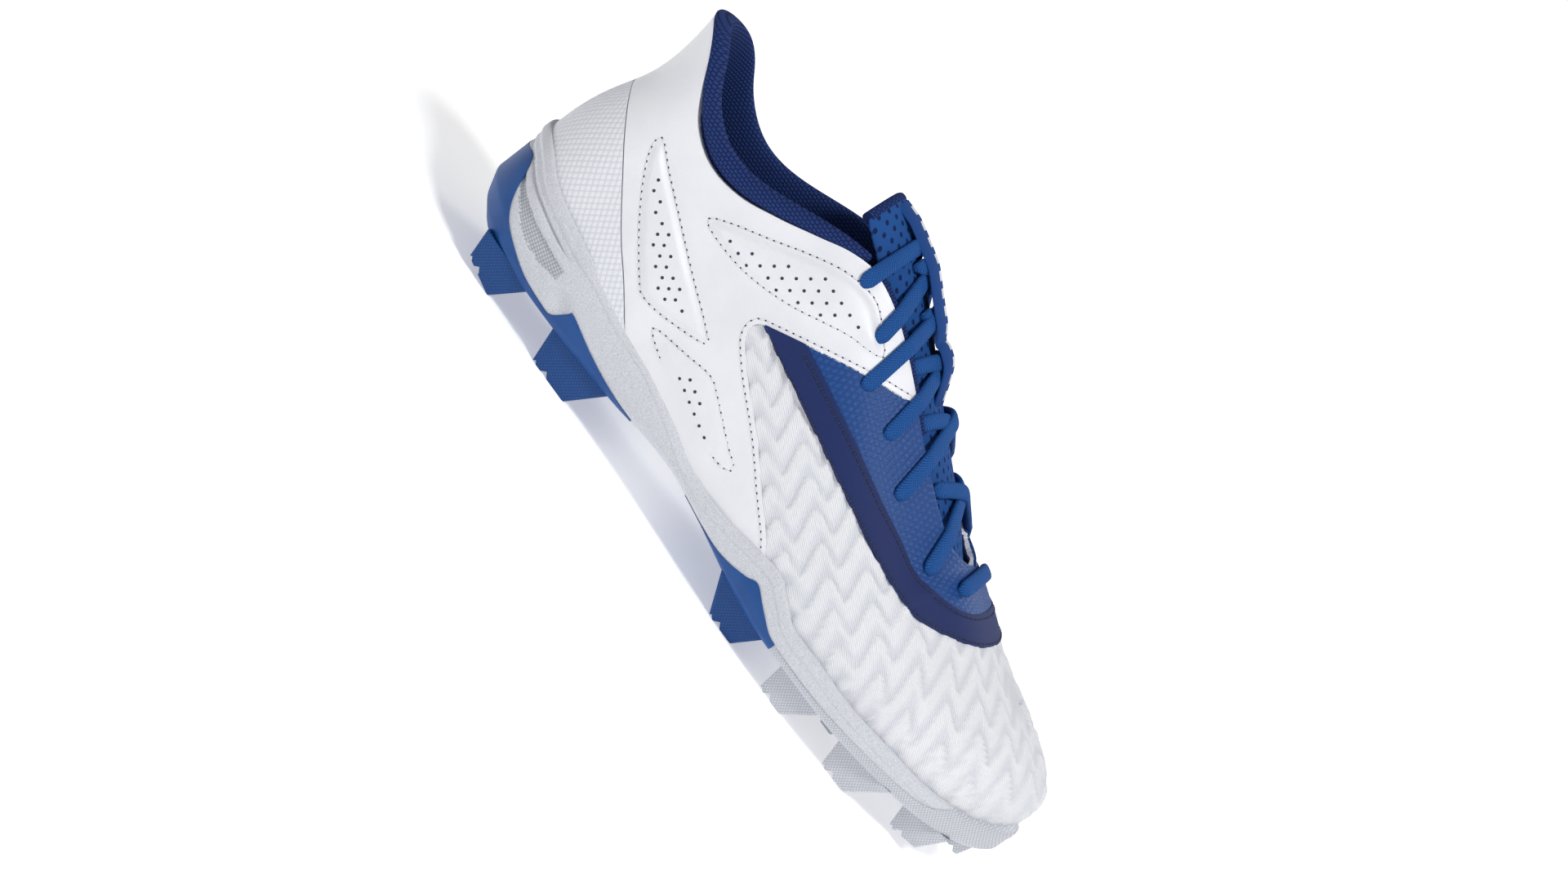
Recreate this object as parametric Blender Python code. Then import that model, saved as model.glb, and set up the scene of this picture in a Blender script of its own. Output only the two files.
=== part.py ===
# Baseball cleat, right shoe, standing empty on its studs.
# Metres. +X to the toe, +Y to the medial side, +Z up, ground at z = 0.
import math

import bpy
import numpy as np
from mathutils import Matrix, Vector
from mathutils.bvhtree import BVHTree

MM = 0.001

# Driving sizes of the shoe
LENGTH = 301 * MM            # sole, heel to toe bumper
BALL_WIDTH = 97.5 * MM       # sole, across the ball
HEEL_HEIGHT = 110 * MM       # sole plate to the top of the heel tab
INSTEP_HEIGHT = 104 * MM     # sole plate to the top corner of the eyestay
STUD_HEIGHT = 12.5 * MM      # ground to the sole plate
TOE_SWING = 7 * MM           # how far the toe tip swings to the medial side

# Thicknesses and clearances
CLEARANCE = 0.3 * MM
WALL = 1.8 * MM              # upper: vamp mesh and its backing
OVERLAY = 1.0 * MM           # quarter, counter, panel and band on the upper
PAD_RISE = 1.6 * MM          # raised ankle and side pads above the quarter
RIM = 2.4 * MM               # midsole edge outside the upper
PLATE = 2.0 * MM             # outsole plate under the midsole
WRAP = 1.0 * MM              # outsole where it wraps up the midsole's side
BAND_STEP = 0.9 * MM         # raised band under the midsole's top edge
BAND_HEIGHT = 3.6 * MM
INSOLE = 3.5 * MM
INSOLE_DISH = 0.8 * MM
TONGUE = 4.5 * MM
LINING = 4.5 * MM            # collar padding inside the upper
ROLL = 6.5 * MM              # collar roll above the upper's edge
LACE_WIDTH = 6.0 * MM
LACE_THICKNESS = 2.2 * MM

# Where the plan changes from side to round end, as shares of LENGTH
HEEL_CENTRE = 0.102
TOE_CENTRE = 0.853
THROAT_FRONT = 0.713
THROAT_CURVE = 0.045
SWING_START = 0.65

# Sole outline from above: half widths over BALL_WIDTH before the ends are rounded
OUTLINE = (
    # x      lateral medial
    (0.000, 0.330, 0.330),
    (0.102, 0.349, 0.338),
    (0.182, 0.374, 0.338),
    (0.282, 0.379, 0.318),
    (0.381, 0.400, 0.308),
    (0.481, 0.431, 0.349),
    (0.581, 0.467, 0.431),
    (0.664, 0.489, 0.490),
    (0.730, 0.484, 0.508),
    (0.797, 0.462, 0.487),
    (0.853, 0.420, 0.441),
    (0.930, 0.366, 0.376),
    (1.000, 0.325, 0.325),
)

# Sections of the upper: heights over the rise, opening over BALL_WIDTH, lean in degrees
SECTIONS = (
    # x     feather belly  opening lean  low   high
    (0.000, 0.159, 0.377, 0.246, 102.0, 0.45, 0.60),
    (0.050, 0.155, 0.370, 0.272, 100.0, 0.45, 0.55),
    (0.102, 0.150, 0.359, 0.290, 96.0, 0.42, 0.45),
    (0.182, 0.143, 0.341, 0.303, 93.0, 0.40, 0.40),
    (0.282, 0.130, 0.310, 0.290, 86.0, 0.40, 0.40),
    (0.342, 0.118, 0.290, 0.258, 74.0, 0.42, 0.40),
    (0.390, 0.108, 0.275, 0.217, 60.0, 0.45, 0.42),
    (0.450, 0.094, 0.250, 0.200, 52.0, 0.48, 0.45),
    (0.514, 0.086, 0.235, 0.190, 48.0, 0.50, 0.48),
    (0.581, 0.082, 0.226, 0.186, 46.0, 0.52, 0.50),
    (0.647, 0.076, 0.218, 0.180, 42.0, 0.54, 0.52),
    (0.713, 0.070, 0.213, 0.165, 36.0, 0.55, 0.55),
    (0.797, 0.072, 0.215, 0.140, 30.0, 0.55, 0.58),
    (0.880, 0.088, 0.228, 0.100, 20.0, 0.55, 0.62),
    (1.000, 0.149, 0.262, 0.100, 20.0, 0.55, 0.70),
)

# Collar, eyestay edge and vamp ridge seen from the side: height over the rise
TOP_LINE = (
    # x     height
    (0.000, 0.995),
    (0.021, 0.990),
    (0.049, 0.965),
    (0.069, 0.918),
    (0.092, 0.845),
    (0.109, 0.796),
    (0.142, 0.745),
    (0.172, 0.730),
    (0.214, 0.752),
    (0.258, 0.822),
    (0.305, 0.912),
    (0.338, 0.970),
    (0.368, 0.993),
    (0.395, 0.984),
    (0.441, 0.946),
    (0.475, 0.903),
    (0.514, 0.848),
    (0.551, 0.790),
    (0.587, 0.740),
    (0.615, 0.703),
    (0.647, 0.665),
    (0.680, 0.634),
    (0.713, 0.622),
    (0.765, 0.572),
    (0.802, 0.529),
    (0.866, 0.471),
    (0.920, 0.428),
)

# Sole from the side: heights over the rise, foot is the plate's share of the half width,
# band is how much of the step under the top edge is left
SOLE_LINES = (
    # x     plate   top    foot  band
    (0.000, 0.010, 0.350, 0.66, 1.0),
    (0.030, 0.002, 0.342, 0.72, 1.0),
    (0.069, 0.000, 0.305, 0.82, 1.0),
    (0.136, 0.003, 0.268, 0.88, 1.0),
    (0.189, 0.007, 0.247, 0.90, 1.0),
    (0.255, 0.014, 0.222, 0.90, 0.8),
    (0.318, 0.026, 0.214, 0.88, 0.6),
    (0.378, 0.048, 0.177, 0.86, 0.5),
    (0.430, 0.054, 0.136, 0.86, 0.4),
    (0.464, 0.045, 0.126, 0.87, 0.4),
    (0.514, 0.024, 0.140, 0.89, 0.4),
    (0.561, 0.004, 0.170, 0.91, 0.4),
    (0.594, -0.006, 0.178, 0.92, 0.4),
    (0.621, -0.010, 0.144, 0.93, 0.4),
    (0.644, -0.010, 0.115, 0.93, 0.4),
    (0.694, -0.008, 0.111, 0.93, 0.4),
    (0.760, -0.008, 0.106, 0.93, 0.4),
    (0.820, 0.000, 0.116, 0.92, 0.4),
    (0.916, 0.018, 0.130, 0.90, 0.3),
    (0.965, 0.032, 0.156, 0.88, 0.3),
    (1.000, 0.046, 0.196, 0.85, 0.3),
)

# Top of the rubber seen from the side: heel cup, midfoot wing, forefoot plate and bumper
HEEL_RUBBER = (
    # x     height
    (-0.03, 0.236),
    (0.000, 0.245),
    (0.029, 0.256),
    (0.052, 0.152),
    (0.072, 0.100),
    (0.099, 0.066),
    (0.136, 0.034),
    (0.175, 0.026),
    (0.190, 0.032),
    (0.203, 0.083),
    (0.210, 0.098),
    (0.262, 0.067),
    (0.305, 0.051),
    (0.345, 0.046),
)
MIDFOOT_RUBBER = (
    # x     height
    (0.452, 0.058),
    (0.494, 0.046),
    (0.530, 0.048),
    (0.567, 0.078),
    (0.584, 0.100),
    (0.606, 0.073),
    (0.637, 0.034),
    (0.652, 0.028),
)
FOREFOOT_RUBBER = (
    # x     height
    (0.655, 0.024),
    (0.720, 0.024),
    (0.790, 0.038),
    (0.863, 0.058),
    (0.905, 0.080),
    (0.925, 0.128),
    (0.933, 0.200),
    (1.030, 0.260),
)

# Studs: root and tip along LENGTH, centre over the half width, tip heights over STUD_HEIGHT
STUDS = (
    # rear  tip_rear tip_front front  out   high_rear high_front width
    (0.066, 0.076, 0.126, 0.155, -0.70, 0.26, 0.00, 1.00),
    (0.201, 0.218, 0.279, 0.308, -0.70, 0.00, 0.00, 1.00),
    (0.546, 0.579, 0.621, 0.645, -0.74, 0.00, 0.00, 1.00),
    (0.675, 0.681, 0.720, 0.752, -0.76, 0.00, 0.00, 1.00),
    (0.781, 0.795, 0.836, 0.868, -0.74, 0.00, 0.05, 1.00),
    (0.886, 0.901, 0.940, 0.956, -0.60, 0.18, 0.42, 0.85),
    (0.066, 0.076, 0.126, 0.155, 0.70, 0.26, 0.00, 1.00),
    (0.201, 0.218, 0.279, 0.308, 0.66, 0.00, 0.00, 1.00),
    (0.546, 0.579, 0.621, 0.645, 0.72, 0.00, 0.00, 1.00),
    (0.675, 0.681, 0.720, 0.752, 0.76, 0.00, 0.00, 1.00),
    (0.781, 0.795, 0.836, 0.868, 0.74, 0.00, 0.05, 1.00),
    (0.886, 0.901, 0.940, 0.956, 0.60, 0.18, 0.42, 0.85),
    (0.728, 0.738, 0.778, 0.796, 0.00, 0.00, 0.00, 1.00),
    (0.954, 0.962, 0.980, 0.984, 0.00, 0.76, 0.84, 1.20),
)
STUD_ROOT_WIDTH = 13 * MM    # across, where the stud leaves the plate
STUD_TIP_WIDTH = 8.5 * MM
STUD_CORNER = 0.24           # corner cut over the width
STUD_BURY = 2.5 * MM         # how far a stud starts above the plate's underside

# Seams on the upper seen from the side
COUNTER_SEAM = (
    # x     height
    (-0.03, 0.690),
    (0.021, 0.650),
    (0.051, 0.608),
    (0.094, 0.527),
    (0.141, 0.429),
    (0.176, 0.360),
    (0.212, 0.297),
    (0.259, 0.205),
)
SADDLE_FRONT = (
    # x     height
    (0.570, 0.150),
    (0.548, 0.205),
    (0.522, 0.248),
    (0.490, 0.302),
    (0.457, 0.360),
    (0.426, 0.407),
    (0.390, 0.458),
    (0.358, 0.512),
    (0.346, 0.540),
    (0.341, 0.575),
    (0.345, 0.606),
)
SADDLE_STRIP = (
    # x     height
    (0.345, 0.606),
    (0.398, 0.690),
    (0.463, 0.779),
    (0.512, 0.824),
    (0.519, 0.834),
)
# Navy band and blue panel: side points by height, front points by reach over BALL_WIDTH
BAND_OUTER_SIDE = (
    # x     height
    (0.345, 0.606),
    (0.393, 0.581),
    (0.449, 0.557),
    (0.505, 0.527),
    (0.562, 0.498),
    (0.609, 0.474),
    (0.652, 0.454),
    (0.690, 0.444),
)
BAND_OUTER_FRONT = (
    # x     reach
    (0.722, 0.383),
    (0.751, 0.336),
    (0.776, 0.270),
    (0.794, 0.185),
    (0.803, 0.090),
    (0.805, 0.000),
)
BAND_INNER_SIDE = (
    # x     height
    (0.388, 0.675),
    (0.433, 0.659),
    (0.472, 0.639),
    (0.514, 0.618),
    (0.563, 0.585),
    (0.603, 0.559),
    (0.646, 0.537),
)
BAND_INNER_FRONT = (
    # x     reach
    (0.680, 0.336),
    (0.712, 0.306),
    (0.741, 0.255),
    (0.759, 0.185),
    (0.767, 0.090),
    (0.768, 0.000),
)

# Raised pads of the saddle seen from the side
ANKLE_PAD = (
    # x     height
    (0.106, 0.655),
    (0.144, 0.609),
    (0.185, 0.562),
    (0.256, 0.493),
    (0.310, 0.446),
    (0.326, 0.412),
    (0.272, 0.343),
    (0.240, 0.323),
    (0.223, 0.340),
    (0.154, 0.477),
    (0.112, 0.590),
)
EYESTAY_PAD = (
    # x     height
    (0.213, 0.632),
    (0.236, 0.691),
    (0.276, 0.774),
    (0.312, 0.852),
    (0.352, 0.918),
    (0.385, 0.938),
    (0.410, 0.930),
    (0.440, 0.885),
    (0.458, 0.850),
    (0.445, 0.830),
    (0.410, 0.802),
    (0.342, 0.707),
    (0.284, 0.643),
    (0.230, 0.617),
)
SIDE_PAD = (
    # x     height
    (0.276, 0.294),
    (0.326, 0.342),
    (0.358, 0.366),
    (0.377, 0.354),
    (0.433, 0.285),
    (0.462, 0.250),
    (0.445, 0.218),
    (0.383, 0.221),
    (0.319, 0.252),
)

# Tongue along its middle: height over the rise, half width over BALL_WIDTH,
# drop of its free sides over TONGUE_DROP
TONGUE_LINE = (
    # x     height  half   drop
    (0.318, 1.188, 0.184, 0.95),
    (0.335, 1.176, 0.186, 0.98),
    (0.358, 1.152, 0.186, 1.00),
    (0.384, 1.118, 0.186, 1.00),
    (0.407, 1.085, 0.196, 0.0),
    (0.450, 1.020, 0.226, 0.0),
    (0.494, 0.948, 0.237, 0.0),
    (0.537, 0.878, 0.237, 0.0),
    (0.581, 0.814, 0.234, 0.0),
    (0.624, 0.748, 0.233, 0.0),
    (0.668, 0.682, 0.226, 0.0),
    (0.690, 0.640, 0.206, 0.0),
    (0.707, 0.600, 0.190, 0.0),
    (0.713, 0.600, 0.175, 0.0),
)
TONGUE_FREE_ROWS = 4
TONGUE_TUCK = (
    # x     gap over TONGUE_GAP
    (0.40, 1.0),
    (0.62, 1.0),
    (0.69, 2.6),
    (0.72, 3.4),
)
TONGUE_DROP = 13 * MM
TONGUE_GAP = 0.55 * MM       # below the eyestay's inside
TONGUE_COLUMNS = (0.0, 0.27, 0.52, 0.76, 1.0)
TONGUE_EDGE = (1.0, 1.0, 1.0, 0.75, 0.42)

# Lace keeper along the tongue: rise above it over LACE_THICKNESS
KEEPER_LINE = (
    # x     rise
    (0.330, 0.00),
    (0.350, 0.80),
    (0.366, 1.80),
    (0.412, 1.85),
    (0.471, 1.85),
    (0.480, 1.25),
    (0.488, 1.85),
    (0.505, 2.00),
    (0.523, 1.85),
    (0.538, 0.00),
)
KEEPER_WIDTH = 14 * MM
KEEPER_THICKNESS = 1.2 * MM

# Collar padding: thickness over LINING, roll over ROLL
COLLAR_PADDING = (
    # x     thick  roll
    (0.000, 0.85, 0.15),
    (0.030, 0.90, 0.20),
    (0.102, 1.00, 0.80),
    (0.160, 1.00, 1.00),
    (0.260, 0.95, 1.00),
    (0.310, 0.70, 0.85),
    (0.360, 0.35, 0.45),
)

# Lace holes from the top row down: reach over BALL_WIDTH, and how far past the middle each
# strand runs; the first and last rows run straight across
LACE_ROWS = (
    # x     reach  past
    (0.378, 0.262, 0.0),
    (0.438, 0.268, 0.060),
    (0.474, 0.318, 0.060),
    (0.534, 0.292, 0.155),
    (0.597, 0.300, 0.155),
    (0.685, 0.286, 0.140),
    (0.730, 0.190, 0.0),
)
LACE_BEVEL = 0.8 * MM
LACE_SAMPLES = 44
LACE_LINES = (-0.5, -0.4, -0.3, -0.2, -0.1, 0.0, 0.1, 0.2, 0.3, 0.4, 0.5)
LACE_EASE = 0.25 * MM        # bends smaller than this are drawn straight
SKY = 0.3                    # start of the rays that find what lies under the laces
CROSSING = 4.5 * MM          # half length of the rise where two strands cross
CROSSING_LIFT = 0.45         # of the lace thickness

SEAM = 0.4 * MM              # gap between two overlays
CHIMNEY = 25 * MM            # how far the cutters' core stands above the collar
RIBBON_OUT = 26 * MM         # reach of the band and panel cutters above the upper
RIBBON_IN = 13 * MM
RIBBON_POINTS = 15
PAST_MIDDLE = 3.5 * MM
PANEL_START = 0.37
PANEL_FRONT = 0.742
HALF_SPAN = 90 * MM          # half length of a cutter across the shoe
CUTTER_FLOOR = -0.25         # heights over the rise that close the side cutters
CUTTER_CEILING = 1.5
CORE_LIFT = 3 * MM           # how far the midsole's core stands above its top edge
HEEL_RISE_END = 0.182
INSTEP_RISE_START = 0.348
COLLAR_END = 10              # last station of the collar lining
COLLAR_BASE = 0.6 * MM       # lining above the collar edge
TOE_RAKE = 0.15
RIDGE_STEP = 0.01

# Steps of the grid
HEEL_STEPS = 5
REAR_STEPS = 11
CURVE_STEPS = 3
FRONT_STEPS = 3
TOE_STEPS = 5
LOW_STEPS = 2
HIGH_STEPS = 6


# Curves through the tables
def column(table, name_index):
    rows = np.array(table, dtype=float)
    return rows[:, 0], rows[:, name_index]


def smooth(table, name_index, x):
    """Smooth curve through one table column, at x."""
    xs, ys = column(table, name_index)
    slopes = np.gradient(ys, xs)
    x = min(max(x, xs[0]), xs[-1])
    i = int(min(max(np.searchsorted(xs, x) - 1, 0), len(xs) - 2))
    step = xs[i + 1] - xs[i]
    s = (x - xs[i]) / step
    start = (1 + 2 * s) * (1 - s) ** 2 * ys[i] + s * (1 - s) ** 2 * step * slopes[i]
    end = s * s * (3 - 2 * s) * ys[i + 1] + s * s * (s - 1) * step * slopes[i + 1]
    return float(start + end)


def ease(s):
    s = min(max(s, 0.0), 1.0)
    return s * s * (3 - 2 * s)


def rise(x):
    """Reference height at x: heel height behind, instep height in front."""
    share = ease((x - HEEL_RISE_END) / (INSTEP_RISE_START - HEEL_RISE_END))
    return HEEL_HEIGHT + (INSTEP_HEIGHT - HEEL_HEIGHT) * share


def level(x, share):
    return STUD_HEIGHT + share * rise(x)


def spine(x):
    """Sideways place of the centre line."""
    return TOE_SWING * max(0.0, (x - SWING_START) / (1 - SWING_START)) ** 2


def round_end(x):
    """Half width left by the rounded heel and toe."""
    if x < HEEL_CENTRE:
        return math.sqrt(max(0.0, 1 - ((HEEL_CENTRE - x) / HEEL_CENTRE) ** 2))
    if x > TOE_CENTRE:
        return math.sqrt(max(0.0, 1 - ((x - TOE_CENTRE) / (1 - TOE_CENTRE)) ** 2))
    return 1.0


def half_width(x, side):
    index = 1 if side < 0 else 2
    return smooth(OUTLINE, index, x) * BALL_WIDTH * round_end(x)


# Stations: x along the outline, closer where the plan turns
def stations():
    places = []
    for i in range(HEEL_STEPS):
        places.append(HEEL_CENTRE * (1 - math.cos(math.pi / 2 * i / HEEL_STEPS)))
    curve_start = THROAT_FRONT - THROAT_CURVE
    for i in range(REAR_STEPS):
        places.append(HEEL_CENTRE + (curve_start - HEEL_CENTRE) * i / REAR_STEPS)
    for i in range(CURVE_STEPS):
        places.append(curve_start + THROAT_CURVE * math.sin(math.pi / 2 * i / CURVE_STEPS))
    for i in range(FRONT_STEPS):
        places.append(THROAT_FRONT + (TOE_CENTRE - THROAT_FRONT) * i / FRONT_STEPS)
    for i in range(TOE_STEPS + 1):
        places.append(TOE_CENTRE + (1 - TOE_CENTRE) * math.sin(math.pi / 2 * i / TOE_STEPS))
    return places


STATIONS = stations()
LAST = len(STATIONS) - 1
FRONT_STATION = HEEL_STEPS + REAR_STEPS + CURVE_STEPS
LEVELS = LOW_STEPS + HIGH_STEPS


def root(x):
    """Point on the centre line that the section at x runs to."""
    rx = min(max(x, HEEL_CENTRE), TOE_CENTRE) + TOE_RAKE * max(0.0, x - TOE_CENTRE)
    return Vector((rx * LENGTH, spine(x), 0.0))


def rim_point(x, side):
    """Point of the sole outline at x."""
    return Vector((x * LENGTH, spine(x) + side * half_width(x, side), 0.0))


def bezier(a, b, c, d, s):
    return a * (1 - s) ** 3 + b * 3 * s * (1 - s) ** 2 + c * 3 * s * s * (1 - s) + d * s ** 3


def closing(x):
    """1 along the throat, falling to 0 round its curved front."""
    q = max(0.0, (x - (THROAT_FRONT - THROAT_CURVE)) / THROAT_CURVE)
    return math.sqrt(max(0.0, 1 - q * q))


def opening(x):
    """Half width of the collar and throat opening at x."""
    return smooth(SECTIONS, 3, x) * BALL_WIDTH * closing(x)


def upper_section(x, side):
    """Points of the upper's outside at x, from the feather edge up to the opening."""
    foot = root(x)
    out = rim_point(x, side) - foot
    reach = out.length
    way = out / reach
    belly = Vector((reach - RIM, level(x, smooth(SECTIONS, 2, x))))
    feather = Vector((belly.x * 0.95, level(x, smooth(SECTIONS, 1, x))))
    gap = opening(x)
    top_x = (foot + way * gap).x / LENGTH
    top = Vector((gap, level(top_x, smooth(TOP_LINE, 1, top_x))))
    if top_x < TOE_CENTRE:
        lean = math.radians(smooth(SECTIONS, 4, x)) * closing(x)
    else:
        ahead = top_x + RIDGE_STEP
        fall = top.y - level(ahead, smooth(TOP_LINE, 1, ahead))
        lean = math.atan(fall / (RIDGE_STEP * LENGTH)) * way.x
    low = smooth(SECTIONS, 5, x)
    high = smooth(SECTIONS, 6, x)
    points = []
    for i in range(LOW_STEPS):
        s = i / LOW_STEPS
        hold = Vector((belly.x, belly.y - 0.5 * (belly.y - feather.y)))
        curve = feather * (1 - s) ** 2 + hold * 2 * s * (1 - s) + belly * s * s
        points.append(curve)
    chord = belly - top
    arm = abs(chord.x * math.cos(lean)) + abs(chord.y * math.sin(lean))
    hold_low = belly + Vector((0.0, low * abs(chord.y)))
    hold_top = top + Vector((math.cos(lean), -math.sin(lean))) * high * arm
    for i in range(HIGH_STEPS + 1):
        points.append(bezier(belly, hold_low, hold_top, top, i / HIGH_STEPS))
    return [foot + way * p.x + Vector((0, 0, p.y)) for p in points]


# Skins: one outside surface as shared points and faces
class Skin:
    def __init__(self):
        self.points = []
        self.faces = []
        self.index = {}

    def add(self, key, point):
        if key not in self.index:
            self.index[key] = len(self.points)
            self.points.append(tuple(point))
        return self.index[key]

    def quad(self, ring):
        self.faces += split([self.index[key] for key in ring])


def split(ring):
    """Triangles of a four-cornered face, always along its first corner."""
    corners = list(dict.fromkeys(ring))
    return [[corners[0], corners[i], corners[i + 1]] for i in range(1, len(corners) - 1)]


def corner_normals(points, faces):
    """Point normals, each face counting by its angle at the point."""
    normals = np.zeros_like(points)
    for face in faces:
        ring = points[face]
        normal = np.cross(ring, np.roll(ring, -1, axis=0)).sum(axis=0)
        normal /= np.linalg.norm(normal)
        for i, here in enumerate(face):
            ahead = points[face[(i + 1) % len(face)]] - points[here]
            behind = points[face[i - 1]] - points[here]
            turn = np.linalg.norm(np.cross(ahead, behind))
            normals[here] += normal * math.atan2(turn, float(np.dot(ahead, behind)))
    return normals / np.linalg.norm(normals, axis=1)[:, None]


def upper_key(station, side, row):
    if station == 0 or station == LAST:
        return (station, 0, row)
    if row == LEVELS and station >= FRONT_STATION:
        return (station, 0, row)
    return (station, side, row)


def upper_skin():
    skin = Skin()
    for station, x in enumerate(STATIONS):
        for side in (-1, 1):
            for row, point in enumerate(upper_section(x, side)):
                skin.add(upper_key(station, side, row), point)
    for station in range(LAST):
        for row in range(LEVELS):
            for side in (-1, 1):
                ring = [
                    upper_key(station, side, row),
                    upper_key(station + 1, side, row),
                    upper_key(station + 1, side, row + 1),
                    upper_key(station, side, row + 1),
                ]
                if side > 0:
                    ring[1], ring[3] = ring[3], ring[1]
                skin.quad(ring)
    return skin


UPPER = upper_skin()
UPPER_POINTS = np.array(UPPER.points)
UPPER_NORMALS = corner_normals(UPPER_POINTS, UPPER.faces)


def upper_at(offset):
    """The upper's outside moved out by an offset, feather edge kept level."""
    moved = UPPER_POINTS + UPPER_NORMALS * offset
    for (station, side, row), i in UPPER.index.items():
        if row == 0:
            moved[i][2] = UPPER_POINTS[i][2]
    return moved


def border(faces):
    """Directed edges that only one face has."""
    edges = set()
    for face in faces:
        for i, here in enumerate(face):
            edges.add((here, face[(i + 1) % len(face)]))
    return [edge for edge in sorted(edges) if (edge[1], edge[0]) not in edges]


def shell_mesh(outside, inside, faces):
    """Closed wall between two surfaces that share their faces."""
    count = len(outside)
    points = [tuple(p) for p in outside] + [tuple(p) for p in inside]
    walls = [list(face) for face in faces]
    walls += [[i + count for i in reversed(face)] for face in faces]
    walls += [[b, a, a + count, b + count] for a, b in border(faces)]
    return points, walls


def upper_form(offset, chimney=0.0):
    """Closed form of the upper at an offset, capped below and over the opening."""
    points = [tuple(p) for p in upper_at(offset)]
    faces = [list(face) for face in UPPER.faces]
    floor = {}
    for station in range(LAST + 1):
        for side in (-1, 1):
            i = UPPER.index[upper_key(station, side, 0)]
            if i not in floor:
                floor[i] = len(points)
                x, y, z = points[i]
                points.append((x, y, z - offset))
    for station in range(LAST):
        ring = []
        for side, step in ((-1, 0), (-1, 1), (1, 1), (1, 0)):
            ring.append(UPPER.index[upper_key(station + step, side, 0)])
        left, ahead, right_ahead, right = [floor[i] for i in ring]
        faces += split([right, right_ahead, ahead, left])
        faces.append([left, ahead, ring[1], ring[0]])
        faces.append([ring[3], ring[2], right_ahead, right])
    raised = {}
    for station in range(FRONT_STATION + 1):
        for side in (-1, 1):
            i = UPPER.index[upper_key(station, side, LEVELS)]
            if chimney and i not in raised:
                raised[i] = len(points)
                x, y, z = points[i]
                points.append((x, y, z + chimney))
    for station in range(FRONT_STATION):
        ring = []
        for side, step in ((-1, 0), (-1, 1), (1, 1), (1, 0)):
            ring.append(UPPER.index[upper_key(station + step, side, LEVELS)])
        if chimney:
            left, ahead, right_ahead, right = ring
            faces.append([left, ahead, raised[ahead], raised[left]])
            faces.append([raised[right], raised[right_ahead], right_ahead, right])
            ring = [raised[i] for i in ring]
        faces += split(ring)
    return points, faces


def on_side(x, side, share):
    """Point of the upper at x and a height."""
    points = upper_section(x, side)
    goal = level(x, share)
    for low, high in zip(points[LOW_STEPS:], points[LOW_STEPS + 1:]):
        if high.z >= goal:
            break
    return low.lerp(high, (goal - low.z) / (high.z - low.z))


def on_top(x, side, reach):
    """Point of the upper at x and a distance from the centre line."""
    points = upper_section(x, side)
    goal = reach * BALL_WIDTH
    middle = spine(x)
    for low, high in zip(points[::-1][1:], points[::-1]):
        if abs(low.y - middle) >= goal:
            break
    near = abs(high.y - middle)
    far = abs(low.y - middle)
    return high.lerp(low, (goal - near) / (far - near))


# Scene helpers
def clear_scene():
    for thing in list(bpy.data.objects):
        bpy.data.objects.remove(thing, do_unlink=True)


def collection(name):
    group = bpy.data.collections.new(name)
    bpy.context.scene.collection.children.link(group)
    return group


clear_scene()
SHOE = collection("baseball_cleat")
CUTTERS = collection("cutters")


def material(name, colour, roughness):
    finish = bpy.data.materials.new(name)
    finish.use_nodes = True
    shader = finish.node_tree.nodes["Principled BSDF"]
    shader.inputs["Base Color"].default_value = (*colour, 1.0)
    shader.inputs["Roughness"].default_value = roughness
    shader.inputs["Metallic"].default_value = 0.0
    return finish


WHITE_MESH = material("white_mesh", (0.86, 0.87, 0.90), 0.75)
WHITE_LEATHER = material("white_leather", (0.88, 0.89, 0.92), 0.5)
WHITE_WEAVE = material("white_weave", (0.84, 0.85, 0.89), 0.7)
WHITE_FOAM = material("white_foam", (0.78, 0.79, 0.83), 0.85)
WHITE_RUBBER = material("white_rubber", (0.75, 0.76, 0.80), 0.55)
BLUE_RUBBER = material("blue_rubber", (0.02, 0.08, 0.30), 0.5)
BLUE_PANEL = material("blue_panel", (0.012, 0.065, 0.27), 0.6)
BLUE_MESH = material("blue_mesh", (0.012, 0.065, 0.27), 0.8)
BLUE_LACE = material("blue_lace", (0.012, 0.075, 0.31), 0.7)
NAVY_BAND = material("navy_band", (0.014, 0.026, 0.14), 0.6)
NAVY_KNIT = material("navy_knit", (0.014, 0.026, 0.14), 0.9)
INSOLE_FOAM = material("insole_foam", (0.02, 0.04, 0.16), 0.9)


def make(name, points, faces, finish=None):
    """A mesh object, on the shoe if it has a finish and else among the cutters."""
    mesh = bpy.data.meshes.new(name)
    mesh.from_pydata([tuple(p) for p in points], [], faces)
    mesh.validate()
    thing = bpy.data.objects.new(name, mesh)
    if finish:
        mesh.materials.append(finish)
        SHOE.objects.link(thing)
    else:
        CUTTERS.objects.link(thing)
        thing.hide_render = True
        thing.display_type = "WIRE"
    return thing


def boolean(thing, cutter, operation):
    step = thing.modifiers.new(cutter.name, "BOOLEAN")
    step.operation = operation
    step.solver = "EXACT"
    step.object = cutter
    return thing


def side_ring(*lines):
    """Side-view polygon in metres from lines of (x, height)."""
    ring = []
    for line in lines:
        for x, share in line:
            point = Vector((x * LENGTH, level(x, share)))
            if not ring or (point - ring[-1]).length > CLEARANCE:
                ring.append(point)
    return ring


def below(line):
    return side_ring(line, ((line[-1][0], CUTTER_FLOOR), (line[0][0], CUTTER_FLOOR)))


def grow(ring, distance):
    """Polygon with every side moved out."""
    turn = sum(a.cross(b) for a, b in zip(ring, ring[1:] + ring[:1]))
    sign = 1 if turn > 0 else -1
    moved = []
    for i, here in enumerate(ring):
        along_in = (here - ring[i - 1]).normalized()
        along_out = (ring[(i + 1) % len(ring)] - here).normalized()
        first = Vector((along_in.y, -along_in.x)) * sign
        second = Vector((along_out.y, -along_out.x)) * sign
        moved.append(here + (first + second) * distance / max(1 + first.dot(second), 0.3))
    return moved


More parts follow.
